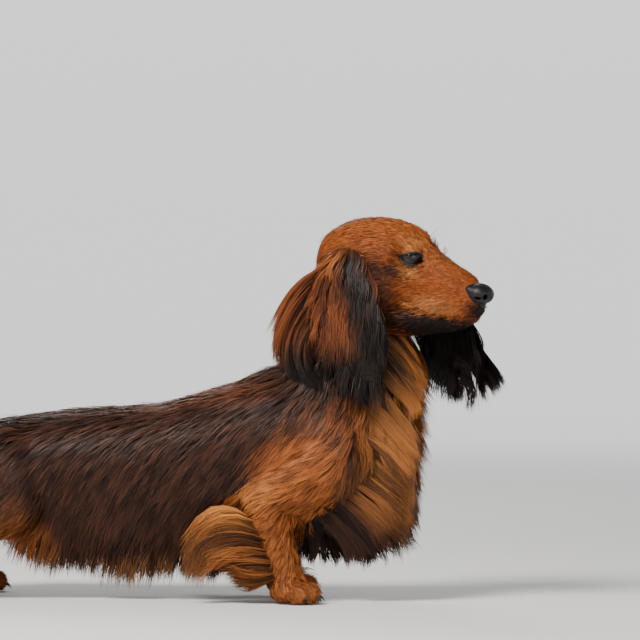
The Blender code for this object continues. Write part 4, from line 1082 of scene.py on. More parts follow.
def sunkBy(part, field):
    # draws the skin in under the coat's depth
    points, normals, corners, _ = part
    depth = readField(field, points, normals)["depth"]
    points = points - normals * (depth * skinLook["sunk"])[:, None]
    points[:, 2] = np.maximum(points[:, 2], 0)
    return points


def partOf(thing):
    points, normals, corners = meshArrays(thing)
    return points, normals, corners, treeOf(points, corners)


def reshaped(thing, points):
    thing.data.vertices.foreach_set("co", points.ravel())
    thing.data.update()


def shiftedRows(rows, kind, side):
    dx = paws[kind]["stagger"] if side > 0 else 0
    return [
        (name, (x + dx, y * side, z), (lx, ly * side, lz), length)
        for name, (x, y, z), (lx, ly, lz), length in rows
    ]


def oneSided(rows, tree):
    kinds = [list(hairKinds).index(row[0]) for row in rows]
    places, lies = (np.array([row[i] for row in rows], float) for i in (1, 2))
    return snapField(kinds, places, unit(lies), np.array([row[3] for row in rows]) / 1000, tree)


bodyThing = fused("bodySkin", bodyMasses(), skinMaking["bodyVoxel"], skinMaking["bodyEase"])
headThing = fused("headSkin", headMasses(), skinMaking["headVoxel"], skinMaking["headEase"])
bodyPart, headPart = partOf(bodyThing), partOf(headThing)
bodyField = mergedFields(
    [makeField(bodyLie, bodyPart[3])]
    + [oneSided(shiftedRows(forelegLie, "fore", side), bodyPart[3]) for side in (1, -1)]
    + [oneSided(shiftedRows(hindlegLie, "hind", side), bodyPart[3]) for side in (1, -1)]
)
headField = makeField(headLie, headPart[3], headFrame())
reshaped(bodyThing, sunkBy(bodyPart, bodyField))
reshaped(headThing, sunkBy(headPart, headField))
bodyPart, headPart = partOf(bodyThing), partOf(headThing)


def headPlaces(points):
    turn = np.array(headFrame().inverted())
    return points @ turn[:3, :3].T + turn[:3, 3]


mouth = {
    "depth": 0.0024,
    # the cut, the upper lip and the lower: height over the mouth's line and reach
    "folds": ((0, 0.0011), (0.0035, 0.0024), (-0.0035, 0.0030)),
    "overhang": 0.0008,  # how far the upper lip stands over the lower
    "bare": 0.0009,
}


def mouthGap(points):
    # height over the mouth's line, and how much of the mouth is there
    local = headPlaces(points)
    line = np.array(mouthLine)
    within = np.clip((local[:, 0] - line[0, 0]) / 0.010, 0, 1) * (local[:, 0] < line[-1, 0] + 0.004)
    return local[:, 2] - np.interp(local[:, 0], line[:, 0], line[:, 1]), within


def carvedMouth(part):
    points, normals, _, _ = part
    gap, within = mouthGap(points)
    cut, upper, lower = (np.exp(-(((gap - place) / reach) ** 2)) for place, reach in mouth["folds"])
    lip, cut = mouth["overhang"] * (upper - lower), mouth["depth"] * cut
    return points + normals * ((lip - cut) * within)[:, None]


def eyeOpening(side, grow=1.0, count=64):
    outline = closedCurve(eyeSet["opening"], count) / 1000 * grow
    return [(-side * inward, up) for inward, up in outline]


def openEye(side):
    # the socket, with the opening between the lids
    socket = ball("socket", (0, 0, 0), [eyeSet["radius"] + eyeSet["gap"]] * 3, eyeFrame(side), segments=48)
    rings = [[Vector((x, y, z)) for y, z in eyeOpening(side, grow, 40)] for x, grow in eyeSet["hole"]]
    boolean(socket, loft("opening", rings, eyeFrame(side)), "UNION")
    boolean(headThing, socket, "DIFFERENCE")


def eyeBasin(points):
    # the skin round each eye follows the eyeball, and runs out into the face
    for side in (1, -1):
        frameTurn = np.array(eyeFrame(side))
        local = (points - frameTurn[:3, 3]) @ frameTurn[:3, :3]
        far = np.linalg.norm(local, axis=1)
        turned = np.degrees(np.arctan2(np.hypot(local[:, 1], local[:, 2]), local[:, 0]))
        near, end = eyeSet["basin"]
        share = np.clip((end - turned) / (end - near), 0, 1)
        share *= np.clip((eyeSet["basinReach"] - far) / eyeSet["basinEdge"], 0, 1)
        share = share * share * (3 - 2 * share)
        scale = 1 + ((eyeSet["radius"] + eyeSet["cover"]) / np.maximum(far, 1e-6) - 1) * share
        points = local * scale[:, None] @ frameTurn[:3, :3].T + frameTurn[:3, 3]
    return points


reshaped(headThing, eyeBasin(carvedMouth(headPart)))
# the hair grows on the head before the eyes are cut, so that each run draws alike
headPart = partOf(headThing)
for side in (1, -1):
    openEye(side)


def bareFace(places):
    # no hair grows in the eyes' openings or in the mouth
    keep = np.ones(len(places), bool)
    for side in (1, -1):
        turn = np.array(eyeFrame(side).inverted())
        local = places @ turn[:3, :3].T + turn[:3, 3] + (0, side * eyeSet["bareAhead"], 0)
        outline = np.array(eyeOpening(side, eyeSet["bare"]))
        angles = np.arctan2(outline[:, 1], outline[:, 0])
        order = np.argsort(angles)
        reach = np.linalg.norm(outline, axis=1)[order]
        here = np.interp(np.arctan2(local[:, 2], local[:, 1]), angles[order], reach, period=2 * math.pi)
        keep &= (np.hypot(local[:, 1], local[:, 2]) > here) | (local[:, 0] < 0)
    gap, within = mouthGap(places)
    return keep & ((np.abs(gap) > mouth["bare"]) | (within < 0.3))


def earField(rows, side, tree):
    centres = smoothRows(rows, 101)
    level = headFrame(nod=0)
    made = []
    for place, length in zip(earLie["places"], earLie["length"]):
        ahead, out, up, halfWidth, _ = centres[place]
        for across in earLie["across"]:
            fan = across * (earLie["fanBack"] if across < 0 else earLie["fanFront"]) + earLie["blown"][side]
            for kind, beside, reach in (("ear", 0.02, 1.0), ("earInside", -0.02, 0.5)):
                point = level @ Vector((ahead + halfWidth * across, (out + beside) * side, up))
                lie = level.to_3x3() @ Vector((fan * reach, 0.05 * side, -1))
                made.append((kind, point[:], lie[:], length * reach))
    return oneSided(made, tree)


ears = {}
for side, rows, word in ((-1, nearEarRows, "right"), (1, farEarRows, "left")):
    thing = earFlap("earSkin", rows, side)
    part = partOf(thing)
    ears[word] = {"thing": thing, "part": part, "field": earField(rows, side, part[3]), "side": side}
print("skin forms made")

skin = bodyThing
skinThings = {"body": bodyThing, "head": headThing, **{word: ear["thing"] for word, ear in ears.items()}}
for number, thing in enumerate(skinThings.values()):
    thing.data.materials.clear()
    for _ in skinThings:
        thing.data.materials.append(None)
    thing.data.polygons.foreach_set("material_index", [number] * len(thing.data.polygons))
for thing in list(skinThings.values())[1:]:
    boolean(skin, thing, "UNION")
skin.name = skin.data.name = "skin"
skinPart = partOf(skin)
print("skin joined:", len(skinPart[2]), "triangles")

markSets = {
    "body": (bodyBase, bodyMarksAndShade, None),
    "leg": (legBase, legMarksShadeAndHighlight, None),
    "feather": (featherBase, featherMarksAndHighlight, None),
    "tail": (tailBase, tailMarks, None),
    "head": (headBase, headMarksShadeAndLight, headFrame()),
    "right": (earBase, earMarks, headFrame(nod=0)),
    "left": (farEarBase, (), headFrame(nod=0)),
}


def paintSkin():
    mesh = skin.data
    owner = np.zeros(len(mesh.vertices), int)
    index = np.empty(len(mesh.polygons), np.int32)
    mesh.polygons.foreach_get("material_index", index)
    starts = np.empty(len(mesh.polygons), np.int32)
    totals = np.empty(len(mesh.polygons), np.int32)
    mesh.polygons.foreach_get("loop_start", starts)
    mesh.polygons.foreach_get("loop_total", totals)
    ends = np.empty(len(mesh.loops), np.int32)
    mesh.loops.foreach_get("vertex_index", ends)
    owner[ends] = np.repeat(index, totals)
    points, colours = skinPart[0], np.ones((len(mesh.vertices), 4))
    for number, word in enumerate(skinThings):
        chosen = owner == number
        tone = np.full(chosen.sum(), skinLook["tone"])
        colours[chosen, :3] = coatColours(points[chosen], tone, *markSets[word])
    read = readField(bodyField, points, skinPart[1])
    for word, kinds in (("leg", ("arm", "leg", "feather", "paw")), ("tail", ("flag",))):
        chosen = (owner == 0) & np.isin(read["kind"], [list(hairKinds).index(kind) for kind in kinds])
        tone = np.full(chosen.sum(), skinLook["tone"])
        colours[chosen, :3] = coatColours(points[chosen], tone, *markSets[word])
    layer = mesh.attributes.new("coatColour", "FLOAT_COLOR", "POINT")
    layer.data.foreach_set("color", colours.ravel())
    mesh.materials.clear()
    mesh.materials.append(skinMaterial())
    mesh.polygons.foreach_set("material_index", np.zeros(len(mesh.polygons), np.int32))
    mesh.shade_smooth()


paintSkin()


def unwrap(thing):
    bpy.context.view_layer.objects.active = thing
    for other in bpy.context.view_layer.objects:
        other.select_set(other == thing)
    bpy.ops.object.mode_set(mode="EDIT")
    bpy.ops.mesh.select_all(action="SELECT")
    bpy.ops.uv.smart_project(angle_limit=math.radians(66), island_margin=0.002)
    bpy.ops.object.mode_set(mode="OBJECT")
    thing.data.uv_layers[0].name = "OFBake"


unwrap(skin)
print("skin unwrapped")


def skinPlaces(places):
    # where each root lies on the skin's unwrap
    _, _, faces = nearestOn(skinPart[3], places)
    mesh = skin.data
    corners = np.empty(len(mesh.loop_triangles) * 3, np.int32)
    mesh.loop_triangles.foreach_get("loops", corners)
    spots = np.empty(len(mesh.loops) * 2)
    mesh.uv_layers["OFBake"].data.foreach_get("uv", spots)
    spots = spots.reshape(-1, 2)[corners.reshape(-1, 3)[faces]]
    return spots.mean(1)


# Out from the pupil's middle: place, and colour in thousandths
irisColours = (
    (0.0, (2, 2, 2)), (0.20, (2, 2, 2)), (0.25, (16, 6, 3)), (0.48, (10, 4, 2)), (0.56, (3, 2, 2)),
    (0.74, (22, 12, 10)), (1.0, (100, 60, 45)),
)


def eyeMaterial():
    material, shader = plainMaterial("eye", (0.02, 0.008, 0.004), 0.03, Specular_IOR_Level=0.38)
    tree = material.node_tree
    ramp = tree.nodes.new("ShaderNodeValToRGB")
    stops = ramp.color_ramp.elements
    stops[0].position, stops[1].position = 0.0, 1.0
    for place, _ in irisColours[1:-1]:
        stops.new(place)
    for stop, (_, colour) in zip(stops, irisColours):
        stop.color = (*milli(colour), 1)
    tree.links.new(attributeNode(tree, "fromPupil").outputs["Fac"], ramp.inputs["Fac"])
    tree.links.new(ramp.outputs["Color"], shader.inputs["Base Color"])
    return material


eyeGloss = eyeMaterial()
eyePieces, lidPieces = [], []


def lidMaterial():
    material, shader = plainMaterial("lidSkin", (0.012, 0.010, 0.010), 0.50, Specular_IOR_Level=0.3)
    tree = material.node_tree
    tree.links.new(attributeNode(tree, "coatColour").outputs["Color"], shader.inputs["Base Color"])
    return material, shader


lidSkin, lidShader = lidMaterial()


def eyelids(side):
    # both lids as one ring round the opening, its outer edge sunk in the skin
    section = closedCurve(eyeSet["lid"], 24) / 1000
    radius = eyeSet["radius"] + eyeSet["lidGap"]
    outline = [Vector((math.sqrt(max(radius**2 - y * y - z * z, 1e-8)), y, z)) for y, z in eyeOpening(side)]
    rings = []
    for i, point in enumerate(outline):
        out = point.normalized()
        away = (outline[(i + 1) % len(outline)] - outline[i - 1]).cross(out).normalized()
        if away.dot(Vector((0, point.y, point.z))) < 0:
            away.negate()
        rings.append([point + away * a + out * b for a, b in section])
    lids = loft(f"eyelids_{'right' if side < 0 else 'left'}", rings, eyeFrame(side), closed=True)
    points, _, _ = meshArrays(lids)
    edge = np.tile(np.clip((section[:, 0] - 0.0010) / 0.0014, 0, 1), len(outline))[:, None]
    fur = coatColours(points, np.full(len(points), 0.3), *markSets["head"])
    paint = np.ones((len(points), 4))
    paint[:, :3] = np.array((0.014, 0.012, 0.013)) * (1 - edge) + fur * 0.6 * edge
    lids.data.attributes.new("coatColour", "FLOAT_COLOR", "POINT").data.foreach_set("color", paint.ravel())
    lids.data.materials.append(lidSkin)
    lids.data.shade_smooth()
    return lids


for side, word in ((-1, "right"), (1, "left")):
    radius = eyeSet["radius"]
    eye = ball(f"eyeball_{word}", (0, 0, 0), [radius] * 3, segments=64)
    points, _, _ = meshArrays(eye)
    away = np.arccos(np.clip(points[:, 0] / radius, -1, 1))
    reach, height = eyeSet["cornea"]
    cornea = np.clip(1 - away / reach, 0, 1)
    points *= (1 + height * cornea * cornea * (3 - 2 * cornea))[:, None]
    reshaped(eye, points)
    fromPupil = eye.data.attributes.new("fromPupil", "FLOAT", "POINT")
    fromPupil.data.foreach_set("value", away / eyeSet["irisReach"])
    eye.data.transform(eyeFrame(side))
    eye.data.materials.append(eyeGloss)
    eye.data.shade_smooth()
    eyePieces.append((eye, f"eye_{word}"))
    lidPieces.append((eyelids(side), "face_coat"))


noseSet = {
    "place": Vector((0.0745, 0, -0.0235)),
    # name, centre from the nose's place, radii, turn and segments
    "forms": (
        ("nose", (-2, 0, 0), (14, 14.2, 10.4), (0, 0, 0), 40),
        ("crown", (-6.6, 0, 1.8), (15.2, 14.2, 7.2), (0, 12, 0), 40),
        ("lobe", (-2, 0, -8.5), (8.5, 5, 6.5), (0, 0, 0), 24),
        ("wing", (-1, 7.2, -1.2), (8.5, 6.2, 7.8), (0, 0, 0), 24),
        ("wing", (-1, -7.2, -1.2), (8.5, 6.2, 7.8), (0, 0, 0), 24),
    ),
    "cuts": (
        ("nostril", (7.6, 6.4, -1.2), (6.2, 2.6, 3), (0, 12, 24), 24),
        ("slit", (3.5, 11.8, -3.6), (7.6, 3.6, 1.5), (0, 10, 40), 24),
        ("nostril", (7.6, -6.4, -1.2), (6.2, 2.6, 3), (0, 12, -24), 24),
        ("slit", (3.5, -11.8, -3.6), (7.6, 3.6, 1.5), (0, 10, -40), 24),
        ("groove", (10.5, 0, -6), (3.6, 0.6, 10), (0, 14, 0), 24),
    ),
}


def noseForm(name, centre, radii, turn, segments):
    return ball(name, noseSet["place"] + Vector(milli(centre)), milli(radii), headFrame(), turn, segments)


def noseShape():
    nose = fused("noseLeather", [noseForm(*row) for row in noseSet["forms"]], 0.0006, 3)
    for row in noseSet["cuts"]:
        boolean(nose, noseForm(*row), "DIFFERENCE")
    return nose


nose = noseShape()


def grainGroup():
    # a pebbled surface, as on a nose or in horn
    takes = (
        ("Scale", "NodeSocketFloat", 1000),
        ("Roughness", "NodeSocketFloat", 0.3),
        ("Change", "NodeSocketFloat", 0.25),
    )
    gives = (("Height", "NodeSocketFloat"), ("Roughness", "NodeSocketFloat"))
    tree, given, made = newGroup("grain", takes, gives)
    place = tree.nodes.new("ShaderNodeTexCoord")
    cells = tree.nodes.new("ShaderNodeTexVoronoi")
    tree.links.new(place.outputs["Object"], cells.inputs["Vector"])
    tree.links.new(given.outputs["Scale"], cells.inputs["Scale"])
    tree.links.new(cells.outputs["Distance"], made.inputs["Height"])
    rough = mathNode(tree, "MULTIPLY_ADD", cells.outputs["Distance"], given.outputs["Change"])
    tree.links.new(given.outputs["Roughness"], rough.node.inputs[2])
    tree.links.new(rough, made.inputs["Roughness"])
    return tree


grain = grainGroup()


def addGrain(material, shader, scale, strength, distance):
    tree = material.node_tree
    group = tree.nodes.new("ShaderNodeGroup")
    group.node_tree = grain
    group.inputs["Scale"].default_value = scale
    group.inputs["Roughness"].default_value = shader.inputs["Roughness"].default_value
    bump = tree.nodes.new("ShaderNodeBump")
    bump.inputs["Strength"].default_value = strength
    bump.inputs["Distance"].default_value = distance
    tree.links.new(group.outputs["Height"], bump.inputs["Height"])
    tree.links.new(bump.outputs["Normal"], shader.inputs["Normal"])
    tree.links.new(group.outputs["Roughness"], shader.inputs["Roughness"])


noseSkin, noseShader = plainMaterial("noseLeather", (0.004, 0.004, 0.005), 0.26, Specular_IOR_Level=0.32)
addGrain(noseSkin, noseShader, 1100, 0.5, 0.00035)
nose.data.materials.clear()
nose.data.materials.append(noseSkin)
nose.data.shade_smooth()
nosePart = partOf(nose)
addGrain(lidSkin, lidShader, 2200, 0.4, 0.00020)
print("eyes and nose made")


def tube(form, line, radius, sides, tip=0.12):
    # a tapering spike along a line of points
    line = [Vector(point) for point in line]
    loops = []
    for i, point in enumerate(line):
        along = (line[min(i + 1, len(line) - 1)] - line[max(i - 1, 0)]).normalized()
        flat = along.cross(Vector((0.31, 0.17, 0.93))).normalized()
        thick = radius * (1 - (1 - tip) * i / (len(line) - 1))
        loops.append([form.verts.new(p) for p in ringOf(point, flat, along.cross(flat), thick, thick, sides)])
    for first, second in zip(loops, loops[1:]):
        for i in range(sides):
            j = (i + 1) % sides
            form.faces.new((first[i], first[j], second[j], second[i]))
    form.faces.new(loops[0][::-1])
    form.faces.new(loops[-1])


whiskerSet = {
    "thickness": 0.00022,
    "rows": ((-0.030, 4), (-0.035, 5), (-0.040, 4)),  # height on the lip, number
    # the first root and the step to the next: on the lip and over the eye
    "lipRoots": (0.036, 0.0070, 0.026),
    "browRoots": (0.006, -0.004, 0.018, 0.020),
    "lipWay": (-0.70, 0.60, -0.35),
    "browWay": (0.35, 0.45, 0.9),
    "brow": 3,
    "length": (0.014, 0.027),
    "lean": 0.14,
    "sag": 0.25,
    "rootDepth": 0.0008,
}


def whiskerRoots():
    first, step, out = whiskerSet["lipRoots"]
    starts = []
    for height, count in whiskerSet["rows"]:
        starts += [(first + step * i, out, height, whiskerSet["lipWay"]) for i in range(count)]
    first, step, out, height = whiskerSet["browRoots"]
    for i in range(whiskerSet["brow"]):
        starts.append((first + step * i, out, height, whiskerSet["browWay"]))
    return starts


def whiskers():
    form = bmesh.new()
    local = np.array(headFrame())
    for side in (1, -1):
        for x, y, z, way in whiskerRoots():
            spot = np.array([(x, y * side, z)]) @ local[:3, :3].T + local[:3, 3]
            near, outward, _ = nearestOn(headPart[3], spot)
            lean = Vector((way[0], way[1] * side, way[2])) + Vector(rng.normal(0, whiskerSet["lean"], 3))
            heading = (headFrame().to_3x3() @ lean).normalized()
            length = rng.uniform(*whiskerSet["length"])
            root = Vector(near[0]) - Vector(outward[0]) * whiskerSet["rootDepth"]
            line = []
            for t in np.linspace(0, 1, 6):
                sag = Vector((0, 0, -whiskerSet["sag"] * length * t * t))
                line.append(root + heading * (length * t) + sag)
            tube(form, line, whiskerSet["thickness"], 4)
    bmesh.ops.recalc_face_normals(form, faces=form.faces)
    return newObject("whiskers", meshFrom("whiskers", form))


clawSet = {
    "length": 0.0075,
    "radius": 0.0018,
    "ahead": 0.0080,  # of the toe's middle
    "height": 0.72,  # as a share of the toe's
    "rise": 0.0012,
    "drop": 0.0062,
}


def claws(kind, side):
    form = bmesh.new()
    place, slim = footFrame(kind, side), paws[kind]["slim"]
    for ahead, out, height in paws["toes"]:
        root = Vector((ahead + clawSet["ahead"], out * side * slim, height * clawSet["height"]))
        bend = []
        for t in np.linspace(0, 1, 6):
            lift = clawSet["rise"] * t - clawSet["drop"] * t * t
            bend.append(root + Vector((clawSet["length"] * t, 0, lift)))
        tube(form, [place @ point for point in bend], clawSet["radius"], 10)
    bmesh.ops.recalc_face_normals(form, faces=form.faces)
    name = f"claws_{kind}_{'right' if side < 0 else 'left'}"
    return newObject(name, meshFrom(name, form))


hornBlack, hornShader = plainMaterial("clawHorn", (0.016, 0.013, 0.012), 0.34)
addGrain(hornBlack, hornShader, 2600, 0.3, 0.00012)
whiskerBlack, whiskerShader = plainMaterial("whiskerBlack", (0.020, 0.014, 0.011), 0.45)
addGrain(whiskerBlack, whiskerShader, 3000, 0.2, 0.00005)
clawPieces = [(claws(kind, side), "leg_coat") for kind in ("fore", "hind") for side in (-1, 1)]
for claw, _ in clawPieces:
    claw.data.materials.append(hornBlack)
    claw.data.shade_smooth()
whiskerPieces = [(whiskers(), "face_coat")]
whiskerPieces[0][0].data.materials.append(whiskerBlack)
print("claws and whiskers made")

ribbon = {
    "taper": (0.75, 1.0, 0.45),  # width at the root, the middle and near the tip
    "roll": 0.45,  # how far a hair is turned about its own line, in radians
    "sleek": 0.68,  # how far its shading follows the form under it
    "patch": 0.003,
    "most": 190000,  # triangles in one piece
    "jitter": 0.003,  # how far a marking's edge is broken up
    "stations": 3,  # places along a hair, after its root, at which its marking is read
}


def resampled(values, reach, steps):
    # values along each hair at even steps up to its reach
    last = values.shape[1] - 1
    place = reach[:, None] * np.linspace(0, last, steps + 1)
    low = np.minimum(place.astype(int), last - 1)
    share = (place - low)[..., None]
    rows = np.arange(len(values))[:, None]
    return values[rows, low] * (1 - share) + values[rows, low + 1] * share


def ribbonMesh(name, strands, colours, steps, spots, material):
    count = len(strands["root"])
    path = resampled(strands["path"], strands["reach"], steps)
    up = unit(resampled(strands["up"], strands["reach"], steps))
    along = unit(np.gradient(path, axis=1))
    across = unit(np.cross(along, up))
    roll = rng.normal(0, ribbon["roll"], (count, 1, 1))
    turned = across * np.cos(roll) + np.cross(along, across) * np.sin(roll)
    t = np.linspace(0, 1, steps + 1)
    taper = np.interp(t, (0, 0.45, 0.9), ribbon["taper"])
    half = (strands["width"][:, None] / 2 * taper)[..., None]
    left, right = path - turned * half, path + turned * half
    points = np.stack([left[:, :-1], right[:, :-1]], 2).reshape(count, 2 * steps, 3)
    points = np.concatenate([points, path[:, -1:]], 1)
    size = 2 * steps + 1
    quads = np.array([[2 * k, 2 * k + 1, 2 * k + 3, 2 * k + 2] for k in range(steps - 1)]).ravel()
    pattern = np.concatenate([quads, [2 * steps - 2, 2 * steps - 1, 2 * steps]])
    loops = (np.arange(count)[:, None] * size + pattern).ravel()
    lengths = np.tile([4] * (steps - 1) + [3], count)
    starts = np.concatenate([[0], np.cumsum(lengths)[:-1]])
    mesh = bpy.data.meshes.new(name)
    mesh.vertices.add(count * size)
    mesh.vertices.foreach_set("co", points.ravel())
    mesh.loops.add(len(loops))
    mesh.loops.foreach_set("vertex_index", loops.astype(np.int32))
    mesh.polygons.add(len(lengths))
    mesh.polygons.foreach_set("loop_start", starts.astype(np.int32))
    mesh.update(calc_edges=True)
    level = np.append(np.repeat(t[:-1], 2), 1.0)
    across = np.append(np.tile([-0.5, 0.5], steps), 0.0)
    patch = np.stack([across, level - 0.5], 1) * ribbon["patch"]
    uv = (spots[:, None] + patch[None]).reshape(-1, 2)[loops]
    mesh.uv_layers.new(name="OFBake").data.foreach_set("uv", uv.ravel())
    paint = np.ones((count, size, 4))
    paint[..., :3] = resampled(colours, np.ones(count), 12)[:, np.round(level * 12).astype(int)]
    mesh.attributes.new("coatColour", "FLOAT_COLOR", "POINT").data.foreach_set("color", paint.ravel())
    values = {"along": np.tile(level, count), "strand": np.repeat(strands["fleck"], size)}
    for key, value in values.items():
        mesh.attributes.new(key, "FLOAT", "POINT").data.foreach_set("value", value)
    mesh.materials.append(material)
    mesh.shade_smooth()
    facing = unit(up * ribbon["sleek"] + np.cross(turned, along) * (1 - ribbon["sleek"]))
    facing = np.concatenate([np.repeat(facing[:, :-1], 2, axis=1), facing[:, -1:]], 1)
    mesh.normals_split_custom_set_from_vertices(facing.reshape(-1, 3))
    return newObject(name, mesh)


coatPieces = []


def addCoat(label, strands, look, *kinds):
    material, slot = coatLooks[look]
    steps = max(hairKinds[kind]["steps"] for kind in kinds)
    numbers = [list(hairKinds).index(kind) for kind in kinds]
    order = np.flatnonzero(np.isin(strands["kind"], numbers))
    order = order[np.argsort(strands["root"][order, 0], kind="stable")]
    parts = math.ceil(len(order) * (2 * steps - 1) / ribbon["most"])
    for number, group in enumerate(np.array_split(order, parts)):
        one = {key: values[group] for key, values in strands.items()}
        one["fleck"] = rng.random(len(group))
        jitter = rng.normal(0, ribbon["jitter"], (len(group), 3))
        stations = resampled(one["path"], one["reach"], ribbon["stations"]).transpose(1, 0, 2)
        colours = [coatColours(place + jitter, one["tone"], *markSets[look]) for place in stations]
        colours = np.stack(colours, 1)
        name = label if parts == 1 else f"{label}_{number + 1}"
        piece = ribbonMesh(name, one, colours, steps, skinPlaces(one["root"]), material)
        coatPieces.append((piece, slot))
        print(name, len(group), "hairs,", len(group) * (2 * steps - 1), "triangles")


# root shade, tip light and roughness
bodyHair = hairMaterial("bodyCoat", 0.45, 0.25, 0.36)
faceHair = hairMaterial("faceCoat", 0.78, 0.15, 0.44)
legHair = hairMaterial("legCoat", 0.55, 0.30, 0.42)
earHair = hairMaterial("earCoat", 0.50, 0.30, 0.34)
tailHair = hairMaterial("tailCoat", 0.50, 0.30, 0.40)
coatLooks = {
    "body": (bodyHair, "body_coat"),
    "leg": (legHair, "leg_coat"),
    "feather": (legHair, "leg_coat"),
    "tail": (tailHair, "tail_coat"),
    "head": (faceHair, "face_coat"),
    "right": (earHair, "ear_coat"),
    "left": (earHair, "ear_coat"),
}


def sheetStrands(guides, count, clumps, width, kind, place=None, side=1, loose=1.0):
    # hair over a sheet between guide lines, drawn together in clumps towards its tips
    steps = growth["steps"]
    count = int(count * growth["density"])
    lines = np.array([smoothRows(guide, steps + 1) for guide in guides])
    lines[..., 1] *= side
    if place is not None:
        turn = np.array(place)
        lines = lines @ turn[:3, :3].T + turn[:3, 3]
    rows = sheets["rows"]
    dense = np.array(smoothRows(lines.reshape(len(lines), -1), rows)).reshape(rows, steps + 1, 3)
    along = unit(np.gradient(dense, axis=1))
    facing = unit(np.cross(along, np.gradient(dense, axis=0)))
    ratio = np.linspace(0, 1, steps + 1)
    across = rng.random(count) * (rows - 1)
    centres = rng.random(clumps) * (rows - 1)
    lead = np.abs(across[:, None] - centres[None]).argmin(1)
    draw = sheets["gather"] * ratio ** growth["gather"]
    spot = across[:, None] * (1 - draw) + centres[lead][:, None] * draw
    low = np.minimum(spot.astype(int), rows - 2)
    share = (spot - low)[..., None]
    station = np.arange(steps + 1)[None]
    path = dense[low, station] * (1 - share) + dense[low + 1, station] * share
    up = facing[low, station]
    depth = rng.normal(0, sheets["thickness"], clumps)[lead]
    depth = depth + rng.normal(0, sheets["thickness"], count) * 0.5
    path = path + up * (depth[:, None] * (1 - 0.4 * draw))[..., None]
    phase = rng.uniform(0, 2 * math.pi, clumps)[lead]
    sway = swayOf(phase, ratio, sheets["sway"])
    sideways = unit(np.cross(along[low, station], up))
    most = sheets["strayMost"]
    stray = np.clip(rng.normal(0, sheets["stray"], count), -most, most)[:, None] * ratio**1.5
    path = path + sideways * ((sway * sheets["wave"] * ratio + stray) * loose)[..., None]
    path[:, :, 2] = np.maximum(path[:, :, 2], growth["floor"])
    return {
        "path": path, "up": up, "root": path[:, 0].copy(),
        "reach": rng.uniform(sheets["shortest"] / loose**0.6, 1.0, count),
        "tone": toneOf(rng.random(clumps)[lead], rng.random(count), sheets["leadTone"]),
        "width": np.full(count, width),
        "kind": np.full(count, list(hairKinds).index(kind)),
    }


coatSet = {
    "headMargin": -0.0008,  # how near the head's skin other hair may root
    "noseMargin": 0.0013,
    "sweep": (5000, 56, 0.00062),  # hairs, clumps and a hair's width
    "feather": (4000, 64, 0.00050),
    "featherLoose": 1.7,
    "fringes": {"right": (nearWisps, 3600, 30, 0.00060), "left": (farFringe, 4000, 24, 0.00060)},
}
sides = (("right", -1), ("left", 1))
grownBody = growCoat(bodyPart, bodyField, ((headPart[3], coatSet["headMargin"]),))
print("body coat grown:", len(grownBody["root"]))
addCoat("backHair", grownBody, "body", "back", "flank", "shoulder")
addCoat("neckHair", grownBody, "body", "neck")
addCoat("chestHair", grownBody, "body", "chest")
for word, side in sides:
    sweep = sheetStrands(chestSweep, *coatSet["sweep"], "chest", side=side)
    addCoat(f"chestSweep_{word}", sweep, "body", "chest")
addCoat("bellyFringe", grownBody, "body", "fringe")
addCoat("legHair", grownBody, "leg", "arm", "leg", "paw")
addCoat("breechFeather", grownBody, "leg", "feather")
for word, side in sides:
    place, loose = limbShift("fore", side), coatSet["featherLoose"]
    feather = sheetStrands(foreFeather, *coatSet["feather"], "feather", place, side, loose)
    addCoat(f"foreFeather_{word}", feather, "feather", "feather")
addCoat("tailFlag", grownBody, "tail", "flag")
grownHead = growCoat(headPart, headField, ((nosePart[3], coatSet["noseMargin"]),), bareFace)
print("head coat grown:", len(grownHead["root"]))
addCoat("headHair", grownHead, "head", "skull", "cheek")
addCoat("muzzleHair", grownHead, "head", "muzzle")
addCoat("throatHair", grownHead, "head", "neck")
for word, ear in ears.items():
    grown = growCoat(ear["part"], ear["field"], ((headPart[3], coatSet["headMargin"]),))
    addCoat(f"earHair_{word}", grown, word, "ear")
    addCoat(f"earLining_{word}", grown, word, "earInside")
for word, guides in coatSet["fringes"].items():
    fringe = sheetStrands(*guides, "ear", headFrame(nod=0), ears[word]["side"])
    addCoat(f"earFringe_{word}", fringe, word, "ear")
print("coat made")

smallPieces = lidPieces + clawPieces + whiskerPieces
everything = [skin, nose] + [piece for piece, _ in coatPieces + smallPieces + eyePieces]
for piece in everything:
    piece.data.transform(Matrix.Translation(dogShift))
    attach(piece, "root")
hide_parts("head", "lower_jaw", "neck", "torso", "tail", "ear_right", "ear_left")
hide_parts("foreleg_right", "foreleg_left", "hindleg_right", "hindleg_left")
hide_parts("nose")
for eye, node in eyePieces:
    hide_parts(node)

studio = {
    "azimuth": 10,
    "elevation": 0.3,
    "distance": 4.0,
    "lens": 225,
    "aim": Vector((0, 0, 0.28)),
    # name, place, size, power and colour
    "lights": (
        ("keyLight", (-0.5, -1.6, 2.0), 1.0, 104, (1, 0.96, 0.90)),
        ("fillLight", (1.8, -2.0, 0.9), 1.6, 12, (0.94, 0.97, 1)),
        ("rimLight", (-0.6, 1.8, 1.7), 1.2, 20, (1, 1, 1)),
    ),
    "lit": Vector((0, 0, 0.15)),
    "sky": (0.80, 0.82, 0.84, 1),
    "skyStrength": 0.27,
}
camera = bpy.data.objects.new("camera", bpy.data.cameras.new("camera"))
bpy.context.scene.collection.objects.link(camera)
azimuth, elevation = math.radians(studio["azimuth"]), math.radians(studio["elevation"])
flat = math.cos(elevation)
back = Vector((math.sin(azimuth) * flat, -math.cos(azimuth) * flat, math.sin(elevation)))
camera.location = dogShift + studio["aim"] + back * studio["distance"]
camera.rotation_euler = (-back).to_track_quat("-Z", "Y").to_euler()
camera.data.lens = studio["lens"]
camera.data.sensor_width = 36
camera.data.clip_end = 60
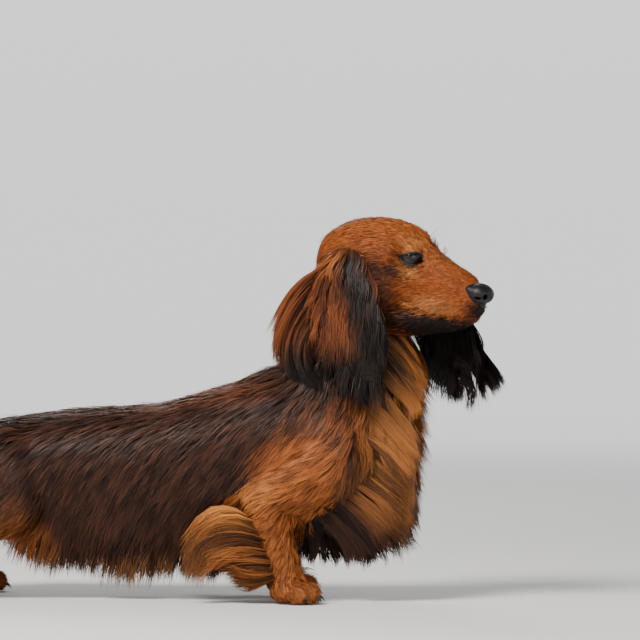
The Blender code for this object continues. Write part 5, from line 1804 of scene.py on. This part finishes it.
bpy.context.scene.camera = camera


def areaLight(name, place, size, power, colour):
    light = bpy.data.lights.new(name, "AREA")
    light.shape = "DISK"
    light.size = size
    light.energy = power
    light.color = colour
    thing = bpy.data.objects.new(name, light)
    bpy.context.scene.collection.objects.link(thing)
    thing.location = place
    thing.rotation_euler = (studio["lit"] - Vector(place)).to_track_quat("-Z", "Y").to_euler()


for light in studio["lights"]:
    areaLight(*light)
world = bpy.data.worlds.new("studio")
world.use_nodes = True
sky = world.node_tree.nodes["Background"]
sky.inputs["Color"].default_value = studio["sky"]
sky.inputs["Strength"].default_value = studio["skyStrength"]
bpy.context.scene.world = world

stageSet = {
    # the floor runs out and up into a pale wall all round: distance and height
    "profile": (
        (0.0, 0.0), (3.0, 0.0), (7.0, 0.0), (8.2, 0.10), (9.2, 0.55), (9.8, 1.4), (10.0, 2.6), (10.0, 4.2),
    ),
    "sides": 96,
    "colour": (0.74, 0.74, 0.73),
    "glow": 0.72,  # light that the far floor and wall give back
    "glowFrom": (0.9, 5.0),
}


def studioFloor():
    form = bmesh.new()
    centre = form.verts.new((0, 0, 0))
    loops = []
    for reach, height in stageSet["profile"][1:]:
        turns = (2 * math.pi * i / stageSet["sides"] for i in range(stageSet["sides"]))
        loops.append([form.verts.new((reach * math.cos(t), reach * math.sin(t), height)) for t in turns])
    for i in range(stageSet["sides"]):
        j = (i + 1) % stageSet["sides"]
        form.faces.new((centre, loops[0][i], loops[0][j]))
        for first, second in zip(loops, loops[1:]):
            form.faces.new((first[i], second[i], second[j], first[j]))
    floor = newObject("floor", meshFrom("floor", form), Matrix.Translation((0, 0, -0.0002)))
    floor.data.shade_smooth()
    floorPaint, shader = plainMaterial("floorPaint", stageSet["colour"], 0.8, Emission_Strength=1.0)
    tree = floorPaint.node_tree
    place = tree.nodes.new("ShaderNodeTexCoord")
    distance = tree.nodes.new("ShaderNodeVectorMath")
    distance.operation = "LENGTH"
    tree.links.new(place.outputs["Object"], distance.inputs[0])
    glow = tree.nodes.new("ShaderNodeMapRange")
    glow.interpolation_type = "SMOOTHSTEP"
    for socket, value in zip(glow.inputs[1:5], (*stageSet["glowFrom"], 0.0, stageSet["glow"])):
        socket.default_value = value
    tree.links.new(distance.outputs["Value"], glow.inputs[0])
    tree.links.new(glow.outputs[0], shader.inputs["Emission Color"])
    floor.data.materials.append(floorPaint)


studioFloor()
